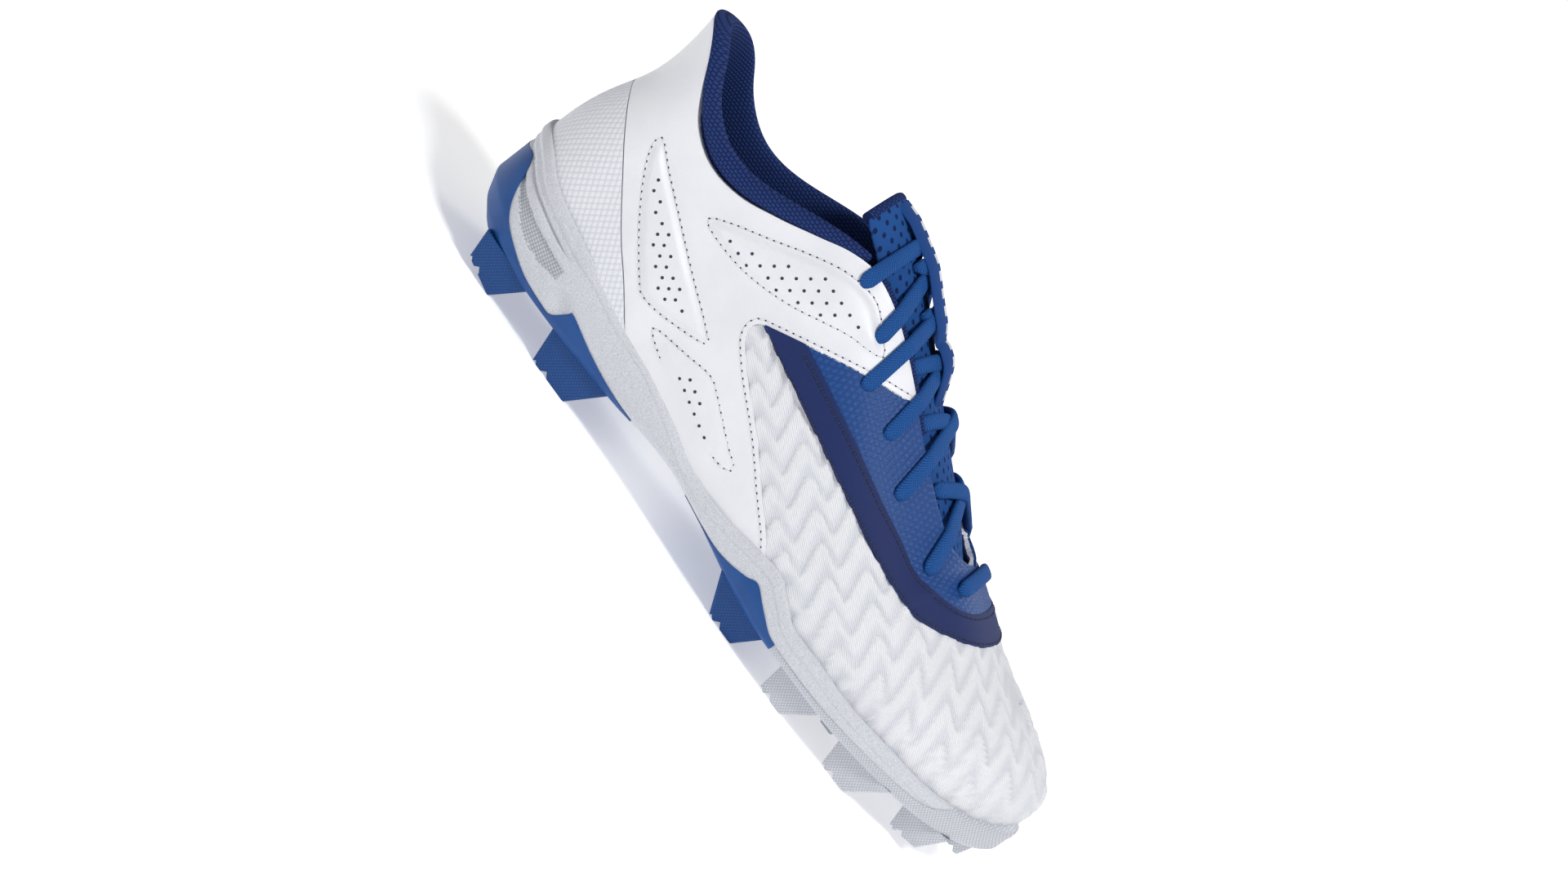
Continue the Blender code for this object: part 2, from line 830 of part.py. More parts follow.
def side_prism(name, ring):
    """Cutter across the whole shoe from a side-view polygon."""
    count = len(ring)
    points = [(p.x, -HALF_SPAN, p.y) for p in ring] + [(p.x, HALF_SPAN, p.y) for p in ring]
    faces = [list(range(count)), list(range(2 * count - 1, count - 1, -1))]
    for i in range(count):
        j = (i + 1) % count
        faces.append([j, i, i + count, j + count])
    if sum(a.cross(b) for a, b in zip(ring, ring[1:] + ring[:1])) < 0:
        faces = [face[::-1] for face in faces]
    return make(name, points, faces)


def resample(line, count):
    """The same line with evenly spaced points."""
    lengths = [0.0]
    for a, b in zip(line, line[1:]):
        lengths.append(lengths[-1] + (b - a).length)
    places = []
    for i in range(count):
        goal = lengths[-1] * i / (count - 1)
        j = min(int(np.searchsorted(lengths, goal)), len(line) - 1)
        j = max(j, 1)
        share = (goal - lengths[j - 1]) / (lengths[j] - lengths[j - 1])
        places.append(line[j - 1].lerp(line[j], share))
    return places


def ribbon(name, outer, inner, side):
    """Cutter between two lines on the upper, drawn along the slant of its side."""
    slant = Vector((0.0, side, 1.0)).normalized()
    points = []
    for a, b in zip(outer, inner):
        points += [a + slant * RIBBON_OUT, b + slant * RIBBON_OUT]
        points += [b - slant * RIBBON_IN, a - slant * RIBBON_IN]
    return make(name, *tube(points, 4, side < 0))


def tube(points, around, turned, crossed=0):
    """Closed solid through rings of the same count, the first ones split the other way."""
    faces = [list(range(around))[::-1]]
    for start in range(0, len(points) - around, around):
        for i in range(around):
            j = (i + 1) % around
            ring = [start + i, start + j, start + j + around, start + i + around]
            if start < crossed * around:
                ring = ring[1:] + ring[:1]
            faces += split(ring)
    faces.append(list(range(len(points) - around, len(points))))
    if turned:
        faces = [face[::-1] for face in faces]
    return points, faces


# Sole forms
def sole_section(x, side, deep, inset, lift):
    """Points of the sole's outside at x, from the centre line of the plate to the top edge."""
    foot = root(x)
    out = rim_point(x, side) - foot
    way = out.normalized()
    reach = out.length - inset
    plate = level(x, smooth(SOLE_LINES, 1, x)) + deep
    top = level(x, smooth(SOLE_LINES, 2, x)) + lift
    tall = top - plate
    corner = smooth(SOLE_LINES, 3, x) * reach
    step = BAND_STEP * smooth(SOLE_LINES, 4, x)
    flat = []
    for r in (0.0, 0.96 * corner):
        place = (foot + way * r).x / LENGTH
        flat.append((r, level(place, smooth(SOLE_LINES, 1, place)) + deep))
    profile = (
        *flat,
        (0.4 * corner + 0.6 * reach - step, plate + 0.12 * tall),
        (reach - step, plate + 0.32 * tall),
        (reach - step, top - BAND_HEIGHT - step),
        (reach, top - BAND_HEIGHT),
        (reach - 0.3 * RIM, top),
    )
    return [foot + way * r + Vector((0, 0, z)) for r, z in profile]


def sole_form(name, deep=0.0, inset=0.0, lift=0.0, finish=None):
    skin = Skin()

    def key(station, side, row):
        if row == 0:
            return (min(max(station, HEEL_STEPS), LAST - 1), 0, row)
        if station in (0, LAST):
            return (station, 0, row)
        return (station, side, row)

    rows = len(sole_section(HEEL_CENTRE, 1, deep, inset, lift))
    for station, x in enumerate(STATIONS):
        for side in (-1, 1):
            for row, point in enumerate(sole_section(x, side, deep, inset, lift)):
                skin.add(key(station, side, row), point)
    for station in range(LAST):
        for side in (-1, 1):
            for row in range(rows - 1):
                ring = [
                    key(station, side, row),
                    key(station + 1, side, row),
                    key(station + 1, side, row + 1),
                    key(station, side, row + 1),
                ]
                if side > 0:
                    ring[1], ring[3] = ring[3], ring[1]
                skin.quad(ring)
        ring = []
        for side, ahead in ((-1, 0), (-1, 1), (1, 1), (1, 0)):
            ring.append(key(station + ahead, side, rows - 1))
        skin.quad(ring)
    return make(name, skin.points, skin.faces, finish)


def stud_ring(rear, front, low_rear, low_front, middle, width, cut):
    """Rectangle with cut corners, its height running from rear to front."""
    ring = []
    for x, y in (
        (rear + cut, -width / 2),
        (front - cut, -width / 2),
        (front, cut - width / 2),
        (front, width / 2 - cut),
        (front - cut, width / 2),
        (rear + cut, width / 2),
        (rear, width / 2 - cut),
        (rear, cut - width / 2),
    ):
        share = (x - rear) / (front - rear)
        ring.append((x, middle + y, low_rear + (low_front - low_rear) * share))
    return ring


def studs(name, start, end):
    """All studs whose middle lies between two places along the sole."""
    points = []
    faces = []
    for rear, tip_rear, tip_front, front, out, high_rear, high_front, wide in STUDS:
        x = (rear + front) / 2
        if not start < x < end:
            continue
        side = -1 if out < 0 else 1
        middle = spine(x) + out * side * side * half_width(x, side)
        plate_rear = level(rear, smooth(SOLE_LINES, 1, rear))
        plate_front = level(front, smooth(SOLE_LINES, 1, front))
        tip_width = STUD_TIP_WIDTH * wide
        root_width = STUD_ROOT_WIDTH * wide
        low_rear = high_rear * STUD_HEIGHT
        low_front = high_front * STUD_HEIGHT
        rings = (
            (rear, front, plate_rear + STUD_BURY, plate_front + STUD_BURY, root_width),
            (rear, front, plate_rear, plate_front, root_width),
            (tip_rear, tip_front, low_rear, low_front, tip_width),
        )
        stack = []
        for back, ahead, z_back, z_ahead, width in rings:
            low = back * LENGTH
            high = ahead * LENGTH
            stack += stud_ring(low, high, z_back, z_ahead, middle, width, STUD_CORNER * width)
        first = len(points)
        ring_points, ring_faces = tube(stack, 8, True)
        points += ring_points
        faces += [[i + first for i in face] for face in ring_faces]
    return make(name, points, faces)


# Upper
make("upper", *shell_mesh(upper_at(0.0), upper_at(-WALL), UPPER.faces), WHITE_MESH)

# Midsole and rubber
FOOT_ROOM = make("foot_room", *upper_form(CLEARANCE))
SOLE_CORE = sole_form("sole_core", PLATE, WRAP, CORE_LIFT)
MIDSOLE_CORE = sole_form("midsole_core", PLATE + CLEARANCE, WRAP + CLEARANCE, CORE_LIFT)
MIDSOLE = sole_form("midsole", finish=WHITE_FOAM)
for name, line, finish in (
    ("outsole_heel", HEEL_RUBBER, BLUE_RUBBER),
    ("outsole_midfoot", MIDFOOT_RUBBER, BLUE_RUBBER),
    ("outsole_forefoot", FOREFOOT_RUBBER, WHITE_RUBBER),
):
    piece = sole_form(name, finish=finish)
    boolean(piece, side_prism(name + "_side", below(line)), "INTERSECT")
    boolean(piece, studs(name + "_studs", line[0][0], line[-1][0]), "UNION")
    boolean(piece, SOLE_CORE, "DIFFERENCE")
    room = side_prism(name + "_room", grow(below(line), CLEARANCE))
    boolean(room, MIDSOLE_CORE, "DIFFERENCE")
    boolean(MIDSOLE, room, "DIFFERENCE")
boolean(MIDSOLE, FOOT_ROOM, "DIFFERENCE")

# Insole
def insole():
    """Footbed between the upper's inside walls, a little lower along its middle."""
    inside = upper_at(-(WALL + CLEARANCE))
    points = []
    index = {}
    for station in range(LAST + 1):
        for side in (-1, 1):
            i = UPPER.index[upper_key(station, side, 0)]
            if i not in index:
                index[i] = len(points)
                x, y, z = inside[i]
                points += [(x, y, z), (x, y, z + INSOLE)]
    middle = {}
    for station in range(1, LAST):
        left, right = [
            points[index[UPPER.index[upper_key(station, side, 0)]] + 1] for side in (-1, 1)
        ]
        middle[station] = len(points)
        centre = (Vector(left) + Vector(right)) / 2
        points.append((centre.x, centre.y, centre.z - INSOLE_DISH))
    faces = []
    for station in range(LAST):
        left, right = [index[UPPER.index[upper_key(station, side, 0)]] for side in (-1, 1)]
        ahead_left, ahead_right = [
            index[UPPER.index[upper_key(station + 1, side, 0)]] for side in (-1, 1)
        ]
        faces += split([left, ahead_left, ahead_left + 1, left + 1])
        faces += split([right + 1, ahead_right + 1, ahead_right, right])
        faces += split([right, ahead_right, ahead_left, left])
        here = middle.get(station, left + 1)
        ahead = middle.get(station + 1, ahead_left + 1)
        faces += split([left + 1, ahead_left + 1, ahead, here])
        faces += split([here, ahead, ahead_right + 1, right + 1])
    return points, faces


make("insole", *insole(), INSOLE_FOAM)


# Tongue
def station_points(station, side, offset_points):
    return [
        Vector(offset_points[UPPER.index[upper_key(station, side, row)]])
        for row in range(LEVELS + 1)
    ]


def under_point(points, middle, reach):
    """Point of one inside section at a distance from the centre line."""
    for low, high in zip(points[::-1][1:], points[::-1]):
        if abs(low.y - middle) >= reach:
            share = (reach - abs(high.y - middle)) / (abs(low.y - middle) - abs(high.y - middle))
            return high.lerp(low, share)
    return points[0]


def tongue_row(x, half):
    """Points across the tongue, above the collar's front."""
    top = level(x, smooth(TONGUE_LINE, 1, x))
    drop = smooth(TONGUE_LINE, 3, x) * TONGUE_DROP
    line = []
    for side in (-1, 1):
        across = []
        for s in TONGUE_COLUMNS:
            across.append(Vector((x * LENGTH, spine(x) + side * s * half, top - drop * s * s)))
        line += across[::-1] if side < 0 else across[1:]
    return line


def throat_row(station, half):
    """Points across the tongue, crowned in the throat and tucked under its edges."""
    x = STATIONS[station]
    inside = upper_at(-(WALL + TONGUE_GAP * smooth(TONGUE_TUCK, 1, x)))
    top = level(x, smooth(TONGUE_LINE, 1, x))
    line = []
    for side in (-1, 1):
        section = station_points(station, side, inside)
        rim = section[-1]
        gap = abs(rim.y - spine(x))
        across = []
        for s in TONGUE_COLUMNS:
            reach = s * half
            if reach < gap:
                z = rim.z + max(top - rim.z, 0.0) * (1 - (reach / gap) ** 2)
                across.append(Vector((rim.x, spine(x) + side * reach, z)))
            else:
                across.append(under_point(section, spine(x), reach))
        line += across[::-1] if side < 0 else across[1:]
    return line


def tongue():
    rows = []
    for x, share, half, drop in TONGUE_LINE[:TONGUE_FREE_ROWS]:
        rows.append(tongue_row(x, half * BALL_WIDTH))
    for station in range(COLLAR_END + 1, FRONT_STATION + 1):
        half = smooth(TONGUE_LINE, 2, STATIONS[station]) * BALL_WIDTH
        rows.append(throat_row(station, half))
    wide = len(rows[0])
    top_points = np.array([tuple(p) for line in rows for p in line])
    faces = []
    for row in range(len(rows) - 1):
        for i in range(wide - 1):
            a = row * wide + i
            faces += split([a, a + wide, a + wide + 1, a + 1])
    normals = corner_normals(top_points, faces)
    low_points = top_points.copy()
    for i in range(len(top_points)):
        place = abs(i % wide - (wide - 1) // 2)
        low_points[i] -= normals[i] * TONGUE * TONGUE_EDGE[place]
    return shell_mesh(top_points, low_points, faces)


TONGUE_PIECE = make("tongue", *tongue(), BLUE_MESH)

# Saddle over the quarters and the heel tab, with its raised pads
OUTER_FORM = upper_form(CLEARANCE + OVERLAY)
PAD_FORM = upper_form(CLEARANCE + OVERLAY + PAD_RISE)
OVERLAY_CORE = make("overlay_core", *upper_form(CLEARANCE, CHIMNEY))
SOLE_ROOM = sole_form("sole_room", -CLEARANCE, -CLEARANCE, CLEARANCE)
SADDLE_RING = side_ring(
    COUNTER_SEAM[::-1],
    ((COUNTER_SEAM[0][0], CUTTER_CEILING), (SADDLE_STRIP[-1][0], CUTTER_CEILING)),
    SADDLE_STRIP[::-1],
    SADDLE_FRONT[::-1],
    ((SADDLE_FRONT[0][0], CUTTER_FLOOR), (COUNTER_SEAM[-1][0], CUTTER_FLOOR)),
)


def trim(piece):
    """Hollow an overlay out and stop it above the sole."""
    boolean(piece, OVERLAY_CORE, "DIFFERENCE")
    boolean(piece, SOLE_ROOM, "DIFFERENCE")


QUARTER = make("quarter", *OUTER_FORM, WHITE_LEATHER)
boolean(QUARTER, side_prism("saddle_side", grow(SADDLE_RING, -SEAM / 2)), "INTERSECT")
for name, line in (
    ("ankle_pad", ANKLE_PAD),
    ("eyestay_pad", EYESTAY_PAD),
    ("side_pad", SIDE_PAD),
):
    pad = make(name, *PAD_FORM)
    boolean(pad, side_prism(name + "_side", side_ring(line)), "INTERSECT")
    boolean(QUARTER, pad, "UNION")
trim(QUARTER)
COUNTER = make("heel_counter", *OUTER_FORM, WHITE_WEAVE)
boolean(COUNTER, side_prism("counter_side", grow(below(COUNTER_SEAM), -SEAM / 2)), "INTERSECT")
trim(COUNTER)

# Band and panel round the throat
SADDLE_ROOM = side_prism("saddle_room", grow(SADDLE_RING, SEAM / 2))


def front_line(side_table, front_table, side):
    """Line on the upper from the saddle round to past the middle of the vamp."""
    line = [on_side(x, side, share) for x, share in side_table]
    line += [on_top(x, side, reach) for x, reach in front_table]
    line.insert(0, line[0] + (line[0] - line[1]).normalized() * 4 * PAST_MIDDLE)
    line.append(line[-1] - Vector((0.0, side * PAST_MIDDLE, 0.0)))
    return resample(line, RIBBON_POINTS)


def middle_line(side):
    """Line over the throat that closes the panel's cutter."""
    line = []
    for i in range(RIBBON_POINTS):
        x = PANEL_START + (PANEL_FRONT - PANEL_START) * i / (RIBBON_POINTS - 1)
        y = spine(x) - side * PAST_MIDDLE
        line.append(Vector((x * LENGTH, y, level(x, smooth(TOP_LINE, 1, x)))))
    return line


def toward(line, other, distance):
    return [a + (b - a).normalized() * distance for a, b in zip(line, other)]


def front_piece(name, finish, lines):
    """Overlay cut by one ribbon for each side."""
    piece = make(name, *OUTER_FORM, finish)
    cutters = []
    for side in (-1, 1):
        outer, inner = lines(side)
        cutters.append(ribbon(name + "_side" + str(side), outer, inner, side))
    boolean(cutters[0], cutters[1], "UNION")
    boolean(piece, cutters[0], "INTERSECT")
    boolean(piece, SADDLE_ROOM, "DIFFERENCE")
    trim(piece)
    return piece


def band_lines(side):
    outer = front_line(BAND_OUTER_SIDE, BAND_OUTER_FRONT, side)
    inner = front_line(BAND_INNER_SIDE, BAND_INNER_FRONT, side)
    return outer, toward(inner, outer, SEAM / 2)


def panel_lines(side):
    outer = front_line(BAND_INNER_SIDE, BAND_INNER_FRONT, side)
    inner = middle_line(side)
    return toward(outer, inner, SEAM / 2), inner


front_piece("throat_band", NAVY_BAND, band_lines)
PANEL = front_piece("throat_panel", BLUE_PANEL, panel_lines)


# Collar lining: a padded ring along the inside of the collar, rolled over its edge
def collar_ring(station, side, share, roll):
    """Section of the lining at one station: out over the edge, then down the inside."""
    up = []
    for row in range(LEVELS - 3, LEVELS + 1):
        i = UPPER.index[upper_key(station, side, row)]
        up.append((Vector(UPPER_POINTS[i]), Vector(UPPER_NORMALS[i])))
    rim, out = up[3]
    rise_way = (rim - up[2][0]).normalized()
    rise_way = (rise_way - out * rise_way.dot(out)).normalized()
    back = WALL + CLEARANCE
    thick = LINING * share
    edge = (
        (OVERLAY, COLLAR_BASE),
        (OVERLAY + 0.4 * MM, 0.45 * roll + COLLAR_BASE),
        (-0.2 * MM, 0.9 * roll + COLLAR_BASE),
        (-back - 0.45 * thick, roll + COLLAR_BASE),
        (-back - thick, 0.55 * roll + COLLAR_BASE),
    )
    ring = [rim + out * a + rise_way * b for a, b in edge]
    for step, fill in ((2, 1.0), (1, 0.7), (0, 0.14)):
        point, normal = up[step]
        ring.append(point - normal * (back + thick * fill))
    for step in (0, 1, 2, 3):
        point, normal = up[step]
        ring.append(point - normal * back)
    ring.append(rim - out * back + rise_way * COLLAR_BASE)
    return ring


def collar_lining():
    rings = []
    places = [(station, -1) for station in range(COLLAR_END, 0, -1)] + [(0, 1)]
    places += [(station, 1) for station in range(1, COLLAR_END + 1)]
    for station, side in places:
        share = smooth(COLLAR_PADDING, 1, STATIONS[station])
        roll = smooth(COLLAR_PADDING, 2, STATIONS[station]) * ROLL
        rings += collar_ring(station, side, share, roll)
    return tube(rings, len(rings) // len(places), False, COLLAR_END)


make("collar_lining", *collar_lining(), NAVY_KNIT)

# Laces and keeper, drawn taut over what lies under them
def surface_tree(pieces):
    depsgraph = bpy.context.evaluated_depsgraph_get()
    return [BVHTree.FromObject(piece, depsgraph) for piece in pieces]


def support(trees, place):
    """Height of the highest surface at a place."""
    start = Vector((place.x, place.y, SKY))
    highest = 0.0
    for tree in trees:
        hit = tree.ray_cast(start, Vector((0.0, 0.0, -1.0)))[0]
        if hit:
            highest = max(highest, hit.z)
    return highest


def taut(heights):
    """Upper hull over evenly spaced heights."""
    hull = []
    for i, height in enumerate(heights):
        while len(hull) > 1:
            (i0, h0), (i1, h1) = hull[-2:]
            if (h1 - h0) * (i - i0) >= (height - h0) * (i1 - i0):
                break
            hull.pop()
        hull.append((i, height))
    corners = [i for i, height in hull]
    values = [height for i, height in hull]
    return corners, np.interp(range(len(heights)), corners, values)


def bend(lines, low, high):
    """How far the lines rise above a straight run between two samples."""
    most = 0.0
    for line in lines:
        for here in range(low + 1, high):
            share = (here - low) / (high - low)
            most = max(most, line[here] - line[low] - (line[high] - line[low]) * share)
    return most


def thinned(corners, lines):
    """As few corners as keep every line within LACE_EASE."""
    kept = [corners[0]]
    for here, after in zip(corners[1:], corners[2:]):
        if bend(lines, kept[-1], after) > LACE_EASE:
            kept.append(here)
    return kept + [corners[-1]]


def strand(name, trees, start, end, lift, finish):
    """One flat lace from start to end, lying on the surfaces below it."""
    along = (end - start).normalized()
    across = Vector((-along.y, along.x))
    samples = [start.lerp(end, i / (LACE_SAMPLES - 1)) for i in range(LACE_SAMPLES)]
    bump = [lift if abs(p.y) < CROSSING else 0.0 for p in samples]
    lines = []
    corners = {0, LACE_SAMPLES - 1}
    for shift in LACE_LINES:
        raw = [
            support(trees, p + across * LACE_WIDTH * shift) + rise_here
            for p, rise_here in zip(samples, bump)
        ]
        found, line = taut(raw)
        corners.update(found)
        lines.append(line)
    points = []
    for i in thinned(sorted(corners), lines):
        low_left = lines[0][i]
        low_right = lines[-1][i]
        extra = CLEARANCE + LACE_EASE
        extra += max(
            line[i] - low_left - (low_right - low_left) * (shift + 0.5)
            for shift, line in zip(LACE_LINES, lines)
        )
        left = samples[i] - across * LACE_WIDTH / 2
        right = samples[i] + across * LACE_WIDTH / 2
        left = Vector((left.x, left.y, low_left + extra))
        right = Vector((right.x, right.y, low_right + extra))
        flat = (right - left).normalized()
        up = flat.cross(Vector((along.x, along.y, 0.0))).normalized()
        up = up if up.z > 0 else -up
        points += [left, right]
        points += [right + up * LACE_THICKNESS - flat * LACE_BEVEL]
        points += [left + up * LACE_THICKNESS + flat * LACE_BEVEL]
    return make(name, *tube(points, 4, False), finish)


def hole(row, side):
    x, reach = LACE_ROWS[row][:2]
    return Vector((x * LENGTH, spine(x) + side * reach * BALL_WIDTH))


def far_end(row, side):
    """Where a strand stops on its way to the hole above on the other side."""
    near = LACE_ROWS[row][1]
    share = (near + LACE_ROWS[row][2]) / (near + LACE_ROWS[row - 1][1])
    return hole(row, side).lerp(hole(row - 1, -side), share)


def keeper(trees):
    """Flat tape over the laces, down on the tongue at both ends."""
    points = []
    for x, share in KEEPER_LINE:
        middle = Vector((x * LENGTH, spine(x)))
        low = support(trees, middle) + CLEARANCE + share * LACE_THICKNESS
        for y, z in (
            (-KEEPER_WIDTH / 2, low),
            (KEEPER_WIDTH / 2, low),
            (KEEPER_WIDTH / 2, low + KEEPER_THICKNESS),
            (-KEEPER_WIDTH / 2, low + KEEPER_THICKNESS),
        ):
            points.append((middle.x, middle.y + y, z))
    return tube(points, 4, False)


TREES = surface_tree([QUARTER, PANEL, TONGUE_PIECE])
for row in range(len(LACE_ROWS)):
    if row in (0, len(LACE_ROWS) - 1):
        name = "lace_top" if row == 0 else "lace_bar"
        strand(name, TREES, hole(row, -1), hole(row, 1), 0.0, BLUE_LACE)
        continue
    name = "lace_cross_" + str(row + 1)
    lift = CROSSING_LIFT * LACE_THICKNESS
    lower = strand(name, TREES, hole(row, -1), far_end(row, -1), 0.0, BLUE_LACE)
    upper = strand(name + "_over", TREES, hole(row, 1), far_end(row, 1), lift, None)
    boolean(lower, upper, "UNION")
make("lace_keeper", *keeper(surface_tree([TONGUE_PIECE])), BLUE_LACE)


# Stand the shoe with its box centred over the origin
def box(things):
    depsgraph = bpy.context.evaluated_depsgraph_get()
    corners = []
    for thing in things:
        mesh = thing.evaluated_get(depsgraph).to_mesh()
        places = np.empty(3 * len(mesh.vertices))
        mesh.vertices.foreach_get("co", places)
        corners.append(places.reshape(-1, 3))
    corners = np.concatenate(corners)
    return corners.min(axis=0), corners.max(axis=0)


LOW, HIGH = box(SHOE.objects)
SHIFT = Matrix.Translation((-(LOW[0] + HIGH[0]) / 2, -(LOW[1] + HIGH[1]) / 2, -LOW[2]))
for thing in list(SHOE.objects) + list(CUTTERS.objects):
    thing.data.transform(SHIFT)
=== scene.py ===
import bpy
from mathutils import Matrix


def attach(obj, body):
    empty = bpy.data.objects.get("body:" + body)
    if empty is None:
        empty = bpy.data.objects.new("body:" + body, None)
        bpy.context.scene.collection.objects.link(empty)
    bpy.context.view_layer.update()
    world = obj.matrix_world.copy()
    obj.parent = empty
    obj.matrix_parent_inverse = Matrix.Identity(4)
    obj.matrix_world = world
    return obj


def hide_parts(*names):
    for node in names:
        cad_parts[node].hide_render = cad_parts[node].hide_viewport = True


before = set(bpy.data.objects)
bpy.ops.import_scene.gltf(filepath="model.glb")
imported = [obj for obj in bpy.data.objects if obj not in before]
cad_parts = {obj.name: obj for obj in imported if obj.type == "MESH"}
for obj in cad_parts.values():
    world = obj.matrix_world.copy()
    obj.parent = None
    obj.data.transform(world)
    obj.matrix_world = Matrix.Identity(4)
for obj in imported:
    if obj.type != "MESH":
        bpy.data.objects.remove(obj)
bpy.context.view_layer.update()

import math

import bpy
import numpy as np
from mathutils import Matrix, Vector
from mathutils.bvhtree import BVHTree

MM = 0.001

# Sizes of the shoe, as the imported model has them
LENGTH = 301 * MM            # sole, heel to toe
BALL_WIDTH = 97.5 * MM       # sole, across the ball
HEEL_HEIGHT = 110 * MM       # sole plate to the top of the heel tab
INSTEP_HEIGHT = 104 * MM     # sole plate to the top corner of the eyestay
STUD_HEIGHT = 12.5 * MM      # ground to the sole plate
TOE_SWING = 7 * MM           # of the toe toward the medial side
BACK = -150.5 * MM           # heel end of the sole
MIDDLE = -1.045 * MM         # centre line at the heel
CLEARANCE = 0.3 * MM         # between the vamp and the layers on it
WALL = 1.8 * MM              # vamp mesh and its backing
OVERLAY = 1.0 * MM           # thickness of a layer on the vamp
PAD_RISE = 2.0 * MM
RIM = 2.4 * MM               # midsole past the upper
RUBBER_PROUD = 0.45 * MM     # rubber past the midsole
BAND_STEP = 1.0 * MM         # of the midsole's top band over its side
BAND_HEIGHT = 3.8 * MM
SEAM = 0.4 * MM              # gap between two layers
LACE_WIDTH = 6.0 * MM
LACE_THICKNESS = 2.7 * MM
TAPE_WIDTH = 14 * MM
TAPE_THICKNESS = 1.0 * MM
TAPE_CROWN = 2.6 * MM        # how far its edges hang below its middle
SLAB = 90 * MM               # half length of a cutter across the shoe
PER_FLOW = 100               # pattern units per metre along a surface
SKY = 0.3                    # start of a ray from above
DOWN = Vector((0.0, 0.0, -1.0))
CEILING = 0.2                # upper edge of the cutters drawn from the side
LOW_EDGE = -60 * MM          # and their lower edge
WELD = 0.02 * MM             # closes a skin at its poles and seams
CUT_WELD = 0.06 * MM         # clears the crumbs that a cut leaves
LAYER_EDGE = 0.3 * MM        # softened edge of a layer of the upper
BAND_PROUD = 0.35 * MM       # how far the band stands over the other layers
SEAM_ENDS = (14 * MM, 3.5 * MM)   # how far the throat cutters run on, rear and front

# Places along the shoe as shares of its length
HEEL_CENTRE = 0.102          # centre of the heel's round
TOE_CENTRE = 0.853           # and of the toe's
THROAT_FRONT = 0.713
THROAT_CURVE = 0.045         # length of the throat's round front
SWING_START = 0.65
HEEL_RISE_END = 0.182        # the heel's height holds up to here
INSTEP_RISE_START = 0.348    # and the instep's from here
TOE_RAKE = 0.15

# x along the shoe, then lateral and medial half widths
OUTLINE = (
    (0.000, 0.330, 0.330), (0.102, 0.349, 0.338), (0.182, 0.374, 0.338), (0.282, 0.379, 0.318),
    (0.381, 0.400, 0.308), (0.481, 0.431, 0.349), (0.581, 0.467, 0.431), (0.664, 0.489, 0.490),
    (0.730, 0.484, 0.508), (0.797, 0.462, 0.487), (0.853, 0.420, 0.441), (0.930, 0.366, 0.376),
    (1.000, 0.325, 0.325),
)
# x, feather height, belly height, opening, lean, low and high pull of the section's curve
SECTIONS = (
    (0.000, 0.159, 0.377, 0.246, 102.0, 0.45, 0.60),
    (0.050, 0.155, 0.370, 0.272, 100.0, 0.45, 0.55),
    (0.102, 0.150, 0.359, 0.290, 96.0, 0.42, 0.45),
    (0.182, 0.143, 0.341, 0.303, 93.0, 0.40, 0.40),
    (0.282, 0.130, 0.310, 0.290, 86.0, 0.40, 0.40),
    (0.342, 0.118, 0.290, 0.258, 74.0, 0.42, 0.40),
    (0.390, 0.108, 0.275, 0.217, 60.0, 0.45, 0.42),
    (0.450, 0.094, 0.250, 0.200, 52.0, 0.48, 0.45),
    (0.514, 0.086, 0.235, 0.190, 48.0, 0.50, 0.48),
    (0.581, 0.082, 0.226, 0.186, 46.0, 0.52, 0.50),
    (0.647, 0.076, 0.218, 0.180, 42.0, 0.54, 0.52),
    (0.713, 0.070, 0.213, 0.165, 36.0, 0.55, 0.55),
    (0.797, 0.072, 0.215, 0.140, 30.0, 0.55, 0.58),
    (0.880, 0.088, 0.228, 0.100, 20.0, 0.55, 0.62),
    (1.000, 0.149, 0.262, 0.100, 20.0, 0.55, 0.70),
)
# Collar, eyestay edge and vamp ridge from the side
TOP_LINE = (
    (0.000, 0.995), (0.021, 0.990), (0.049, 0.965), (0.069, 0.918), (0.092, 0.845),
    (0.109, 0.796), (0.142, 0.745), (0.172, 0.730), (0.214, 0.752), (0.258, 0.822),
    (0.305, 0.912), (0.338, 0.970), (0.368, 0.993), (0.395, 0.984), (0.441, 0.946),
    (0.475, 0.903), (0.514, 0.848), (0.551, 0.790), (0.587, 0.740), (0.615, 0.703),
    (0.647, 0.665), (0.680, 0.634), (0.713, 0.622), (0.765, 0.572), (0.802, 0.529),
    (0.866, 0.471), (0.920, 0.428),
)
# Sole from the side: x, plate, top edge, plate's share of the half width, step under the top
SOLE_LINES = (
    (0.000, 0.010, 0.350, 0.66, 1.0), (0.030, 0.002, 0.342, 0.72, 1.0),
    (0.069, 0.000, 0.305, 0.82, 1.0), (0.136, 0.003, 0.268, 0.88, 1.0),
    (0.189, 0.007, 0.247, 0.90, 1.0), (0.255, 0.014, 0.222, 0.90, 0.8),
    (0.318, 0.026, 0.214, 0.88, 0.6), (0.378, 0.048, 0.177, 0.86, 0.5),
    (0.430, 0.054, 0.136, 0.86, 0.4), (0.464, 0.045, 0.126, 0.87, 0.4),
    (0.514, 0.024, 0.140, 0.89, 0.4), (0.561, 0.004, 0.170, 0.91, 0.4),
    (0.594, -0.006, 0.178, 0.92, 0.4), (0.621, -0.010, 0.144, 0.93, 0.4),
    (0.644, -0.010, 0.115, 0.93, 0.4), (0.694, -0.008, 0.111, 0.93, 0.4),
    (0.760, -0.008, 0.106, 0.93, 0.4), (0.820, 0.000, 0.116, 0.92, 0.4),
    (0.916, 0.018, 0.130, 0.90, 0.3), (0.965, 0.032, 0.156, 0.88, 0.3),
    (1.000, 0.046, 0.196, 0.85, 0.3),
)
